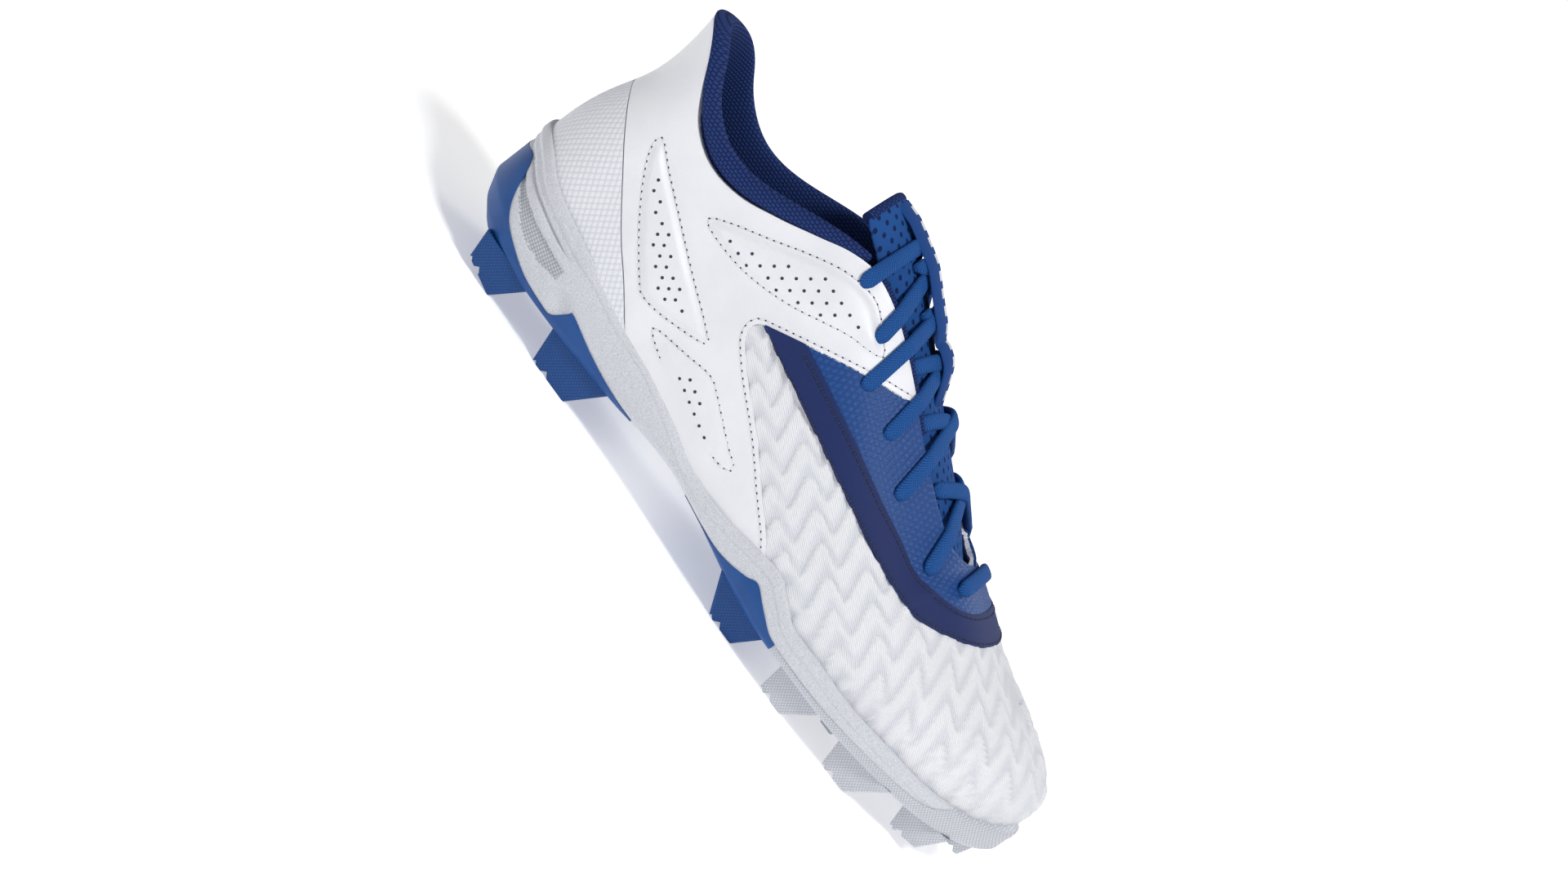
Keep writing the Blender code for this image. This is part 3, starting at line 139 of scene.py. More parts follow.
# Top of the rubber from the side
HEEL_RUBBER = (
    (-0.03, 0.236), (0.000, 0.245), (0.029, 0.256), (0.052, 0.152), (0.072, 0.100),
    (0.099, 0.066), (0.136, 0.034), (0.175, 0.026), (0.190, 0.032), (0.203, 0.083),
    (0.210, 0.098), (0.262, 0.067), (0.305, 0.051), (0.345, 0.046),
)
MIDFOOT_RUBBER = (
    (0.452, 0.058), (0.494, 0.046), (0.530, 0.048), (0.567, 0.078), (0.584, 0.100),
    (0.606, 0.073), (0.637, 0.034), (0.652, 0.028),
)
FOREFOOT_RUBBER = (
    (0.655, 0.024), (0.720, 0.024), (0.790, 0.038), (0.863, 0.058), (0.905, 0.080),
    (0.925, 0.128), (0.933, 0.200), (1.030, 0.260),
)
# Studs: root, tip rear, tip front, root front, out, tip heights rear and front, width
STUDS = (
    (0.066, 0.076, 0.126, 0.155, -0.70, 0.26, 0.00, 1.00),
    (0.201, 0.218, 0.279, 0.308, -0.70, 0.00, 0.00, 1.00),
    (0.546, 0.579, 0.621, 0.645, -0.74, 0.00, 0.00, 1.00),
    (0.675, 0.681, 0.720, 0.752, -0.76, 0.00, 0.00, 1.00),
    (0.781, 0.795, 0.836, 0.868, -0.74, 0.00, 0.05, 1.00),
    (0.886, 0.901, 0.940, 0.956, -0.60, 0.18, 0.42, 0.85),
    (0.066, 0.076, 0.126, 0.155, 0.70, 0.26, 0.00, 1.00),
    (0.201, 0.218, 0.279, 0.308, 0.66, 0.00, 0.00, 1.00),
    (0.546, 0.579, 0.621, 0.645, 0.72, 0.00, 0.00, 1.00),
    (0.675, 0.681, 0.720, 0.752, 0.76, 0.00, 0.00, 1.00),
    (0.781, 0.795, 0.836, 0.868, 0.74, 0.00, 0.05, 1.00),
    (0.886, 0.901, 0.940, 0.956, 0.60, 0.18, 0.42, 0.85),
    (0.728, 0.738, 0.778, 0.796, 0.00, 0.00, 0.00, 1.00),
    (0.954, 0.962, 0.980, 0.984, 0.00, 0.76, 0.84, 1.20),
)
STUD_ROOT_WIDTH = 13 * MM
STUD_TIP_WIDTH = 8.5 * MM

# Seams from the side
COUNTER_SEAM = (
    (-0.03, 0.690), (0.021, 0.650), (0.051, 0.608), (0.094, 0.527), (0.141, 0.429),
    (0.176, 0.360), (0.212, 0.297), (0.259, 0.205),
)
SADDLE_FRONT = (
    (0.570, 0.150), (0.548, 0.205), (0.522, 0.248), (0.490, 0.302), (0.457, 0.360),
    (0.426, 0.407), (0.390, 0.458), (0.358, 0.512), (0.346, 0.540), (0.341, 0.575),
    (0.345, 0.606),
)
SADDLE_STRIP = (
    (0.345, 0.606), (0.398, 0.690), (0.463, 0.779), (0.512, 0.824), (0.519, 0.834),
)
BAND_OUTER_SIDE = (
    (0.345, 0.606), (0.393, 0.581), (0.449, 0.557), (0.505, 0.527), (0.562, 0.498),
    (0.609, 0.474), (0.652, 0.454), (0.690, 0.444),
)
BAND_OUTER_FRONT = (
    (0.722, 0.383), (0.751, 0.336), (0.776, 0.270), (0.794, 0.185), (0.803, 0.090),
    (0.805, 0.000),
)
BAND_INNER_SIDE = (
    (0.388, 0.675), (0.433, 0.659), (0.472, 0.639), (0.514, 0.618), (0.563, 0.585),
    (0.603, 0.559), (0.646, 0.537),
)
BAND_INNER_FRONT = (
    (0.680, 0.336), (0.712, 0.306), (0.741, 0.255), (0.759, 0.185), (0.767, 0.090),
    (0.768, 0.000),
)
ANKLE_PAD = (
    (0.106, 0.655), (0.144, 0.609), (0.185, 0.562), (0.256, 0.493), (0.310, 0.446),
    (0.326, 0.412), (0.272, 0.343), (0.240, 0.323), (0.223, 0.340), (0.154, 0.477),
    (0.112, 0.590),
)
EYESTAY_PAD = (
    (0.213, 0.632), (0.236, 0.691), (0.276, 0.774), (0.312, 0.852), (0.352, 0.918),
    (0.385, 0.938), (0.410, 0.930), (0.440, 0.885), (0.458, 0.850), (0.445, 0.830),
    (0.410, 0.802), (0.342, 0.707), (0.284, 0.643), (0.230, 0.617),
)
SIDE_PAD = (
    (0.276, 0.294), (0.326, 0.342), (0.358, 0.366), (0.377, 0.354), (0.433, 0.285),
    (0.462, 0.250), (0.445, 0.218), (0.383, 0.221), (0.319, 0.252),
)
# Punched rows: first hole and count of each row, over the step along it
ANKLE_HOLES = (
    (0.0, 1), (-0.5, 1), (0.0, 1), (-0.5, 1), (0.0, 1), (-0.5, 2), (-1.0, 2), (-0.5, 2),
    (-1.0, 2), (-0.5, 2), (-1.0, 3), (-0.5, 2), (1.0, 1),
)
EYESTAY_HOLES = ((0, 1), (0, 2), (0, 4), (1, 5), (1, 5), (2, 4), (3, 3), (5, 1))
SIDE_HOLES = ((0, 2), (0, 2), (0, 2), (0, 1), (0, 1), (0, 1))
TONGUE_TOP = (0.318, 0.184)  # x and half width of the tongue's top edge
# Lace holes from the top row down: x, reach, and how far past the middle a strand runs
LACE_ROWS = (
    (0.378, 0.262, 0.0), (0.438, 0.268, 0.060), (0.474, 0.318, 0.060), (0.534, 0.292, 0.155),
    (0.597, 0.300, 0.155), (0.685, 0.286, 0.140), (0.730, 0.190, 0.0),
)


# Camera at the photograph's angle, rolled with the shoe
CAMERA_DISTANCE = 1.312
CAMERA_ANGLES = (2.0, 14.0, 53.5)     # azimuth, elevation and roll
CAMERA_TARGET = (-10.7 * MM, MIDDLE, 49.1 * MM)
CAMERA_LENS = 85
CAMERA_SENSOR = 36
CAMERA_NEAR = 0.05


def look():
    azimuth, elevation, roll = (math.radians(angle) for angle in CAMERA_ANGLES)
    back = Vector((
        math.sin(azimuth) * math.cos(elevation),
        -math.cos(azimuth) * math.cos(elevation),
        math.sin(elevation),
    ))
    right = Vector((math.cos(azimuth), math.sin(azimuth), 0.0))
    up = back.cross(right)
    across = right * math.cos(roll) + up * math.sin(roll)
    down = right * math.sin(roll) - up * math.cos(roll)
    place = Vector(CAMERA_TARGET) + back * CAMERA_DISTANCE
    data = bpy.data.cameras.new("camera")
    data.lens = CAMERA_LENS
    data.sensor_width = CAMERA_SENSOR
    data.clip_start = CAMERA_NEAR
    camera = bpy.data.objects.new("camera", data)
    bpy.context.scene.collection.objects.link(camera)
    turn = Matrix((across, -down, back)).transposed().to_4x4()
    camera.matrix_world = Matrix.Translation(place) @ turn
    bpy.context.scene.camera = camera


look()


# Curves through the tables
def smooth(table, column, x):
    xs = [row[0] for row in table]
    ys = [row[column] for row in table]
    slopes = np.gradient(ys, xs)
    x = min(max(x, xs[0]), xs[-1])
    i = int(min(max(np.searchsorted(xs, x) - 1, 0), len(xs) - 2))
    step = xs[i + 1] - xs[i]
    s = (x - xs[i]) / step
    start = (1 + 2 * s) * (1 - s) ** 2 * ys[i] + s * (1 - s) ** 2 * step * slopes[i]
    end = s * s * (3 - 2 * s) * ys[i + 1] + s * s * (s - 1) * step * slopes[i + 1]
    return float(start + end)


def ease(s):
    s = min(max(s, 0.0), 1.0)
    return s * s * (3 - 2 * s)


def level(x, share):
    """Height over the ground of a share of the rise at x."""
    part = ease((x - HEEL_RISE_END) / (INSTEP_RISE_START - HEEL_RISE_END))
    return STUD_HEIGHT + share * (HEEL_HEIGHT + (INSTEP_HEIGHT - HEEL_HEIGHT) * part)


def spine(x):
    return MIDDLE + TOE_SWING * max(0.0, (x - SWING_START) / (1 - SWING_START)) ** 2


def half_width(x, side):
    share = 1.0
    if x < HEEL_CENTRE:
        share = math.sqrt(max(0.0, 1 - ((HEEL_CENTRE - x) / HEEL_CENTRE) ** 2))
    if x > TOE_CENTRE:
        share = math.sqrt(max(0.0, 1 - ((x - TOE_CENTRE) / (1 - TOE_CENTRE)) ** 2))
    return smooth(OUTLINE, 1 if side < 0 else 2, x) * BALL_WIDTH * share


def station_list(heel, body, toe):
    places = [HEEL_CENTRE * (1 - math.cos(math.pi / 2 * i / heel)) for i in range(heel)]
    places += [HEEL_CENTRE + (TOE_CENTRE - HEEL_CENTRE) * i / body for i in range(body)]
    places += [
        TOE_CENTRE + (1 - TOE_CENTRE) * math.sin(math.pi / 2 * i / toe) for i in range(toe + 1)
    ]
    return places


def root(x):
    rx = min(max(x, HEEL_CENTRE), TOE_CENTRE) + TOE_RAKE * max(0.0, x - TOE_CENTRE)
    return Vector((BACK + rx * LENGTH, spine(x), 0.0))


def rim_point(x, side):
    return Vector((BACK + x * LENGTH, spine(x) + side * half_width(x, side), 0.0))


def closing(x):
    q = max(0.0, (x - (THROAT_FRONT - THROAT_CURVE)) / THROAT_CURVE)
    return math.sqrt(max(0.0, 1 - q * q))


def bezier(a, b, c, d, s):
    return a * (1 - s) ** 3 + b * 3 * s * (1 - s) ** 2 + c * 3 * s * s * (1 - s) + d * s ** 3


FEATHER_SHARE = 0.95         # reach of the feather edge over that of the belly
RAKE_STEP = 0.01             # share of the length over which the toe's fall is read


def upper_section(x, side, low_steps, high_steps):
    """Points of the upper's outside at x, from the feather edge up to the opening."""
    foot = root(x)
    out = rim_point(x, side) - foot
    reach = out.length
    way = out / reach
    belly = Vector((reach - RIM, level(x, smooth(SECTIONS, 2, x))))
    feather = Vector((belly.x * FEATHER_SHARE, level(x, smooth(SECTIONS, 1, x))))
    gap = smooth(SECTIONS, 3, x) * BALL_WIDTH * closing(x)
    top_x = ((foot + way * gap).x - BACK) / LENGTH
    top = Vector((gap, level(top_x, smooth(TOP_LINE, 1, top_x))))
    if top_x < TOE_CENTRE:
        lean = math.radians(smooth(SECTIONS, 4, x)) * closing(x)
    else:
        ahead = top_x + RAKE_STEP
        fall = top.y - level(ahead, smooth(TOP_LINE, 1, ahead))
        lean = math.atan(fall / (RAKE_STEP * LENGTH)) * way.x
    points = []
    for i in range(low_steps):
        s = i / low_steps
        hold = Vector((belly.x, belly.y - 0.5 * (belly.y - feather.y)))
        points.append(feather * (1 - s) ** 2 + hold * 2 * s * (1 - s) + belly * s * s)
    chord = belly - top
    arm = abs(chord.x * math.cos(lean)) + abs(chord.y * math.sin(lean))
    hold_low = belly + Vector((0.0, smooth(SECTIONS, 5, x) * abs(chord.y)))
    hold_top = top + Vector((math.cos(lean), -math.sin(lean))) * smooth(SECTIONS, 6, x) * arm
    for i in range(high_steps + 1):
        points.append(bezier(belly, hold_low, hold_top, top, i / high_steps))
    return [foot + way * p.x + Vector((0.0, 0.0, p.y)) for p in points]


# Modelling helpers
def only(*things):
    bpy.ops.object.select_all(action="DESELECT")
    for thing in things:
        thing.select_set(True)
    bpy.context.view_layer.objects.active = things[0]


def edit(piece):
    only(piece)
    bpy.ops.object.mode_set(mode="EDIT")
    bpy.ops.mesh.select_all(action="SELECT")


def leave():
    bpy.ops.object.mode_set(mode="OBJECT")


def merge(piece, distance):
    edit(piece)
    bpy.ops.mesh.remove_doubles(threshold=distance)
    leave()


def seal(piece, distance):
    """Joins doubled corners and turns every face outward."""
    edit(piece)
    bpy.ops.mesh.remove_doubles(threshold=distance)
    bpy.ops.mesh.normals_make_consistent(inside=False)
    leave()


def modify(piece, kind, **settings):
    """Adds one modifier and applies it."""
    step = piece.modifiers.new(kind.lower(), kind)
    for key, value in settings.items():
        setattr(step, key, value)
    only(piece)
    bpy.ops.object.modifier_apply(modifier=step.name)


def copy_of(piece, name):
    fresh = bpy.data.objects.new(name, piece.data.copy())
    bpy.context.scene.collection.objects.link(fresh)
    return fresh


def remove(*things):
    for thing in things:
        bpy.data.objects.remove(thing, do_unlink=True)


def cut(piece, cutter, operation="DIFFERENCE"):
    modify(piece, "BOOLEAN", operation=operation, solver="EXACT", object=cutter)
    remove(cutter)


SOFT_SHADE = 42              # degrees


def soften(piece, width, angle=38):
    """Rounds the sharp edges left by the cuts."""
    modify(
        piece, "BEVEL", width=width, segments=2, limit_method="ANGLE",
        angle_limit=math.radians(angle), use_clamp_overlap=True,
    )
    smooth_shade(piece, SOFT_SHADE)


def smooth_shade(piece, angle=180):
    only(piece)
    if angle < 180:
        bpy.ops.object.shade_smooth_by_angle(angle=math.radians(angle))
    else:
        bpy.ops.object.shade_smooth()


def draped(name, points, flow):
    """A grid primitive whose corners are moved to rows of points, with its pattern places."""
    rows, columns = points.shape[:2]
    bpy.ops.mesh.primitive_grid_add(x_subdivisions=columns - 1, y_subdivisions=rows - 1, size=1)
    piece = bpy.context.object
    piece.name = name
    mesh = piece.data
    mesh.vertices.foreach_set("co", np.ascontiguousarray(points, dtype=float).reshape(-1))
    layer = mesh.uv_layers[0]
    layer.name = "flow"
    corners = np.empty(len(mesh.loops), dtype=int)
    mesh.loops.foreach_get("vertex_index", corners)
    places = np.ascontiguousarray(flow, dtype=float).reshape(-1, 2)[corners]
    layer.data.foreach_set("uv", places.reshape(-1))
    mesh.update()
    return piece


def lengths(points, axis):
    """Running length along one direction of a grid of points."""
    steps = np.linalg.norm(np.diff(points, axis=axis), axis=2)
    first = np.zeros_like(np.take(steps, [0], axis=axis))
    return np.concatenate([first, np.cumsum(steps, axis=axis)], axis=axis)


def corners_of(piece):
    places = np.empty(len(piece.data.vertices) * 3)
    piece.data.vertices.foreach_get("co", places)
    return places.reshape(-1, 3)


def normals_of(piece):
    ways = np.empty(len(piece.data.vertices) * 3)
    piece.data.vertices.foreach_get("normal", ways)
    return ways.reshape(-1, 3)


def move_corners(piece, places):
    piece.data.vertices.foreach_set("co", np.ascontiguousarray(places).reshape(-1))
    piece.data.update()


CURVE_STEPS = 16


def rounded(line, count, closed=False):
    """Evenly spaced points on a smooth curve through a line's points."""
    line = [Vector(p) for p in line]
    if closed:
        line = line + [line[0]]
    dense = []
    last = len(line) - 1
    for i in range(last):
        before = line[i - 1] if i else (line[-2] if closed else line[0] * 2 - line[1])
        after = line[i + 2] if i + 2 <= last else (line[1] if closed else line[-1] * 2 - line[-2])
        a, b = line[i], line[i + 1]
        for j in range(CURVE_STEPS):
            s = j / CURVE_STEPS
            dense.append(0.5 * (
                2 * a + (b - before) * s + (2 * before - 5 * a + 4 * b - after) * s * s
                + (3 * a - before - 3 * b + after) * s ** 3
            ))
    dense.append(line[-1])
    steps = [0.0]
    for a, b in zip(dense, dense[1:]):
        steps.append(steps[-1] + (b - a).length)
    goals = np.linspace(0.0, steps[-1], count + 1 if closed else count)
    axes = [np.interp(goals, steps, [p[k] for p in dense]) for k in range(len(dense[0]))]
    spots = [Vector(values) for values in zip(*axes)]
    return spots[:-1] if closed else spots


def side_line(table):
    return [Vector((BACK + x * LENGTH, level(x, share))) for x, share in table]


def curve_length(line):
    return sum((b - a).length for a, b in zip(line, line[1:]))


def shifted(line, distance, closed=False):
    """The line moved to its left, seen from the side."""
    moved = []
    last = len(line) - 1
    for i, here in enumerate(line):
        before = line[i - 1] if i or closed else here
        after = line[(i + 1) % (last + 1)] if i < last or closed else here
        way = (after - before).normalized()
        moved.append(here + Vector((-way.y, way.x)) * distance)
    return moved


def slab(name, ring):
    """Cutter drawn as a face from the side and extruded across the shoe."""
    mesh = bpy.data.meshes.new(name)
    mesh.from_pydata([(p.x, -SLAB, p.y) for p in ring], [], [list(range(len(ring)))])
    piece = bpy.data.objects.new(name, mesh)
    bpy.context.scene.collection.objects.link(piece)
    edit(piece)
    bpy.ops.mesh.extrude_region_move(TRANSFORM_OT_translate={"value": (0.0, 2 * SLAB, 0.0)})
    bpy.ops.mesh.select_all(action="SELECT")
    bpy.ops.mesh.normals_make_consistent(inside=False)
    leave()
    return piece


def bar(name, rings, flow=None, closed=False):
    """Tube through rings of points, its ends filled."""
    rings = np.array([[tuple(p) for p in ring] + [tuple(ring[0])] for ring in rings])
    if flow is None:
        flow = np.stack([lengths(rings, 1), lengths(rings, 0)], axis=2) * PER_FLOW
    piece = draped(name, rings, flow)
    edit(piece)
    bpy.ops.mesh.remove_doubles(threshold=0.005 * MM)
    if not closed:
        bpy.ops.mesh.select_all(action="DESELECT")
        bpy.ops.mesh.select_mode(type="EDGE")
        bpy.ops.mesh.select_non_manifold()
        bpy.ops.mesh.edge_face_add()
        bpy.ops.mesh.select_mode(type="VERT")
    bpy.ops.mesh.select_all(action="SELECT")
    bpy.ops.mesh.normals_make_consistent(inside=False)
    leave()
    return piece


def strewn(name, model, places):
    """One mesh from copies of a small model, one at each placing."""
    spots = corners_of(model)
    faces = [list(face.vertices) for face in model.data.polygons]
    points = []
    rings = []
    for place in places:
        turn = np.array(place)
        first = len(points) * len(spots)
        points.append(spots @ turn[:3, :3].T + turn[:3, 3])
        rings += [[i + first for i in face] for face in faces]
    mesh = bpy.data.meshes.new(name)
    mesh.from_pydata(np.concatenate(points).tolist(), [], rings)
    mesh.update()
    piece = bpy.data.objects.new(name, mesh)
    bpy.context.scene.collection.objects.link(piece)
    return piece


# Finishes
RIB_TURN = math.radians(24)  # the vamp's columns run forward and down


def finish(name, colour, roughness, **settings):
    """A Principled finish; settings go on the shader's own sockets."""
    material = bpy.data.materials.new(name)
    material.use_nodes = True
    shader = material.node_tree.nodes["Principled BSDF"]
    shader.inputs["Base Color"].default_value = (*colour, 1.0)
    shader.inputs["Roughness"].default_value = roughness
    for key, value in settings.items():
        shader.inputs[key.replace("_", " ").title().replace("Ior", "IOR")].default_value = value
    return material


def node(material, kind, inputs=None, **settings):
    made = material.node_tree.nodes.new("ShaderNode" + kind)
    for key, value in settings.items():
        setattr(made, key, value)
    for key, value in (inputs or {}).items():
        if isinstance(value, bpy.types.NodeSocket):
            material.node_tree.links.new(value, made.inputs[key])
        else:
            made.inputs[key].default_value = value
    return made


def flow_places(material, scale=(1.0, 1.0, 1.0), turn=0.0):
    source = node(material, "UVMap", uv_map="flow")
    return node(material, "Mapping", {
        "Vector": source.outputs["UV"], "Scale": scale, "Rotation": (0.0, 0.0, turn),
    }).outputs["Vector"]


def flow_axes(material):
    source = node(material, "SeparateXYZ", {"Vector": flow_places(material)})
    return source.outputs["X"], source.outputs["Y"]


def body_places(material, scale=(1.0, 1.0, 1.0), turn=(0.0, 0.0, 0.0)):
    source = node(material, "TexCoord")
    return node(material, "Mapping", {
        "Vector": source.outputs["Object"], "Scale": scale, "Rotation": turn,
    }).outputs["Vector"]


def sums(material, operation, *values):
    made = node(material, "Math", operation=operation)
    for i, value in enumerate(values):
        if isinstance(value, bpy.types.NodeSocket):
            material.node_tree.links.new(value, made.inputs[i])
        else:
            made.inputs[i].default_value = value
    return made.outputs["Value"]


def relief(material, *layers):
    """Chain of bumps: height socket and depth in metres for each."""
    shader = material.node_tree.nodes["Principled BSDF"]
    normal = None
    for height, depth in layers:
        inputs = {"Height": height, "Distance": depth, "Strength": 1.0}
        if normal is not None:
            inputs["Normal"] = normal
        normal = node(material, "Bump", inputs).outputs["Normal"]
    material.node_tree.links.new(normal, shader.inputs["Normal"])


def tint(material, factor, dark, light, low=0.0, high=1.0):
    """Colour running from dark to light with a factor."""
    shader = material.node_tree.nodes["Principled BSDF"]
    ramp = node(material, "ValToRGB", {"Fac": factor})
    ramp.color_ramp.elements[0].position = low
    ramp.color_ramp.elements[0].color = (*dark, 1.0)
    ramp.color_ramp.elements[1].position = high
    ramp.color_ramp.elements[1].color = (*light, 1.0)
    material.node_tree.links.new(ramp.outputs["Color"], shader.inputs["Base Color"])


def stripes(material, places, scale, axis="X"):
    return node(material, "TexWave", {
        "Vector": places, "Scale": scale, "Distortion": 0.0,
    }, wave_type="BANDS", bands_direction=axis, wave_profile="SIN").outputs["Fac"]


def cloud(material, places, scale, detail=2.0, roughness=0.5):
    return node(material, "TexNoise", {
        "Vector": places, "Scale": scale, "Detail": detail, "Roughness": roughness,
    }).outputs["Fac"]


def cells(material, places, scale):
    return node(material, "TexVoronoi", {
        "Vector": places, "Scale": scale,
    }, feature="SMOOTH_F1").outputs["Distance"]


def vamp_finish():
    """Ribbed mesh, greyer in the hollows of its relief as painted shade."""
    made = finish(
        "white_ribbed_mesh", (0.80, 0.81, 0.85), 0.78, sheen_weight=0.25, sheen_roughness=0.5)
    ribs = stripes(made, flow_places(made, turn=RIB_TURN), 4.4, "Y")
    cross = stripes(made, flow_places(made, turn=RIB_TURN), 6.5, "X")
    knit = cloud(made, flow_places(made, (30.0, 5.0, 1.0), RIB_TURN), 2.0, 3.0)
    rise = node(made, "Attribute", attribute_name="rise").outputs["Fac"]
    fine = sums(made, "ADD", sums(made, "MULTIPLY", ribs, 0.35), sums(made, "MULTIPLY", knit, 0.25))
    # Painted shade: the tint darkens where the relief's height (rise) is low, in the hollows of the
    # zigzags; the ribs and knit add their own pattern.
    tint(made, sums(made, "ADD", fine, sums(made, "MULTIPLY", rise, 0.55)),
         (0.63, 0.65, 0.72), (0.90, 0.905, 0.93), 0.05, 0.85)
    relief(made, (ribs, 0.11 * MM), (cross, 0.04 * MM), (knit, 0.08 * MM))
    return made


def leather_finish():
    made = finish(
        "white_soft_leather", (0.83, 0.84, 0.875), 0.42, coat_weight=0.08, coat_roughness=0.35)
    grain = cells(made, body_places(made), 1400.0)
    fine = cloud(made, body_places(made), 2600.0, 3.0, 0.6)
    wear = cloud(made, body_places(made), 60.0, 2.0)
    tint(made, wear, (0.80, 0.812, 0.855), (0.85, 0.858, 0.89), 0.3, 0.75)
    relief(made, (grain, 0.05 * MM), (fine, 0.05 * MM))
    return made


def weave_finish():
    made = finish("white_diamond_weave", (0.80, 0.81, 0.85), 0.6)
    one = stripes(made, flow_places(made, turn=math.radians(38)), 1.55, "X")
    two = stripes(made, flow_places(made, turn=math.radians(-38)), 1.55, "X")
    both = sums(made, "MULTIPLY", sums(made, "POWER", one, 0.35), sums(made, "POWER", two, 0.35))
    fine = cloud(made, body_places(made), 2200.0, 2.0)
    tint(made, both, (0.66, 0.68, 0.74), (0.82, 0.83, 0.87), 0.05, 0.7)
    relief(made, (both, 0.16 * MM), (fine, 0.04 * MM))
    return made


def foam_finish():
    made = finish("white_speckled_foam", (0.76, 0.77, 0.81), 0.85)
    speck = cloud(made, body_places(made), 2600.0, 3.0, 0.7)
    coarse = cloud(made, body_places(made), 900.0, 2.0, 0.6)
    tint(made, speck, (0.50, 0.515, 0.565), (0.72, 0.73, 0.77), 0.36, 0.60)
    relief(made, (speck, 0.10 * MM), (coarse, 0.08 * MM))
    return made


def grille_finish():
    """Grey woven strips set into the midsole."""
    made = finish("grey_woven_recess", (0.52, 0.54, 0.59), 0.75, specular_ior_level=0.3)
    one = stripes(made, flow_places(made, turn=math.radians(12)), 3.2, "Y")
    two = stripes(made, flow_places(made, turn=math.radians(12)), 2.4, "X")
    both = sums(made, "MULTIPLY", sums(made, "POWER", one, 0.4), sums(made, "POWER", two, 0.4))
    tint(made, both, (0.34, 0.355, 0.40), (0.58, 0.60, 0.645), 0.1, 0.8)
    relief(made, (both, 0.15 * MM))
    return made


def hatched(made, scale, depth):
    """Fine crossed tread, as bump; its height is handed back for the tint."""
    places = body_places(made, turn=(0.0, math.radians(35), 0.0))
    other = body_places(made, turn=(0.0, math.radians(-35), 0.0))
    one = stripes(made, places, scale, "X")
    two = stripes(made, other, scale, "X")
    both = sums(made, "MULTIPLY", one, two)
    fine = cloud(made, body_places(made), 1800.0, 2.0)
    relief(made, (both, depth), (fine, 0.03 * MM))
    return both


def blue_rubber_finish():
    made = finish("blue_moulded_rubber", (0.012, 0.075, 0.27), 0.46, specular_ior_level=0.3)
    fine = cloud(made, body_places(made), 1600.0, 3.0)
    scuff = cloud(made, body_places(made), 90.0, 3.0)
    tint(made, scuff, (0.010, 0.066, 0.245), (0.014, 0.082, 0.29), 0.3, 0.7)
    relief(made, (fine, 0.035 * MM))
    return made


def blue_stud_finish():
    made = finish("blue_hatched_rubber", (0.011, 0.070, 0.255), 0.5, specular_ior_level=0.3)
    both = hatched(made, 300.0, 0.12 * MM)
    tint(made, both, (0.007, 0.052, 0.20), (0.014, 0.084, 0.295), 0.0, 0.6)
    return made


def white_rubber_finish():
    made = finish("white_hatched_rubber", (0.62, 0.63, 0.68), 0.55)
    both = hatched(made, 320.0, 0.12 * MM)
    tint(made, both, (0.44, 0.46, 0.51), (0.66, 0.67, 0.72), 0.0, 0.5)
    return made


def band_finish():
    made = finish("navy_grained_band", (0.013, 0.026, 0.115), 0.62, specular_ior_level=0.2)
    grain = cells(made, body_places(made), 2000.0)
    fine = cloud(made, flow_places(made, (4.0, 1.0, 1.0)), 26.0, 3.0)
    tint(made, fine, (0.010, 0.021, 0.098), (0.017, 0.033, 0.135), 0.3, 0.7)
    relief(made, (grain, 0.05 * MM), (fine, 0.05 * MM))
    return made


def panel_finish():
    """Small embossed scales in staggered rows."""
    made = finish("blue_scaled_panel", (0.010, 0.066, 0.262), 0.5, specular_ior_level=0.3)
    places = flow_places(made, turn=math.radians(20))
    brick = node(made, "TexBrick", {
        "Vector": places, "Scale": 4.2, "Mortar Size": 0.03, "Mortar Smooth": 1.0,
        "Brick Width": 1.1, "Row Height": 0.62, "Bias": 0.0,
    }, offset=0.5)
    one = stripes(made, flow_places(made, turn=math.radians(50)), 1.45, "X")
    two = stripes(made, flow_places(made, turn=math.radians(-12)), 1.45, "X")
    scales = sums(made, "MINIMUM", one, two)
    fine = cloud(made, body_places(made), 2300.0, 2.0)
    tint(made, scales, (0.007, 0.050, 0.212), (0.013, 0.078, 0.292), 0.0, 0.8)
    relief(made, (scales, 0.14 * MM), (brick.outputs["Fac"], 0.03 * MM), (fine, 0.03 * MM))
    return made


def knit_finish():
    made = finish("navy_knit_lining", (0.014, 0.032, 0.135), 0.85, specular_ior_level=0.15)
    loops = node(made, "TexBrick", {
        "Vector": flow_places(made), "Scale": 5.0,
        "Mortar Size": 0.16, "Mortar Smooth": 1.0, "Brick Width": 0.9, "Row Height": 0.6,
        "Bias": 0.0,
    }, offset=0.5).outputs["Fac"]
    bulk = sums(made, "SUBTRACT", 1.0, loops)
    tint(made, bulk, (0.006, 0.014, 0.070), (0.020, 0.046, 0.180), 0.0, 0.9)
    relief(made, (bulk, 0.28 * MM))
    return made


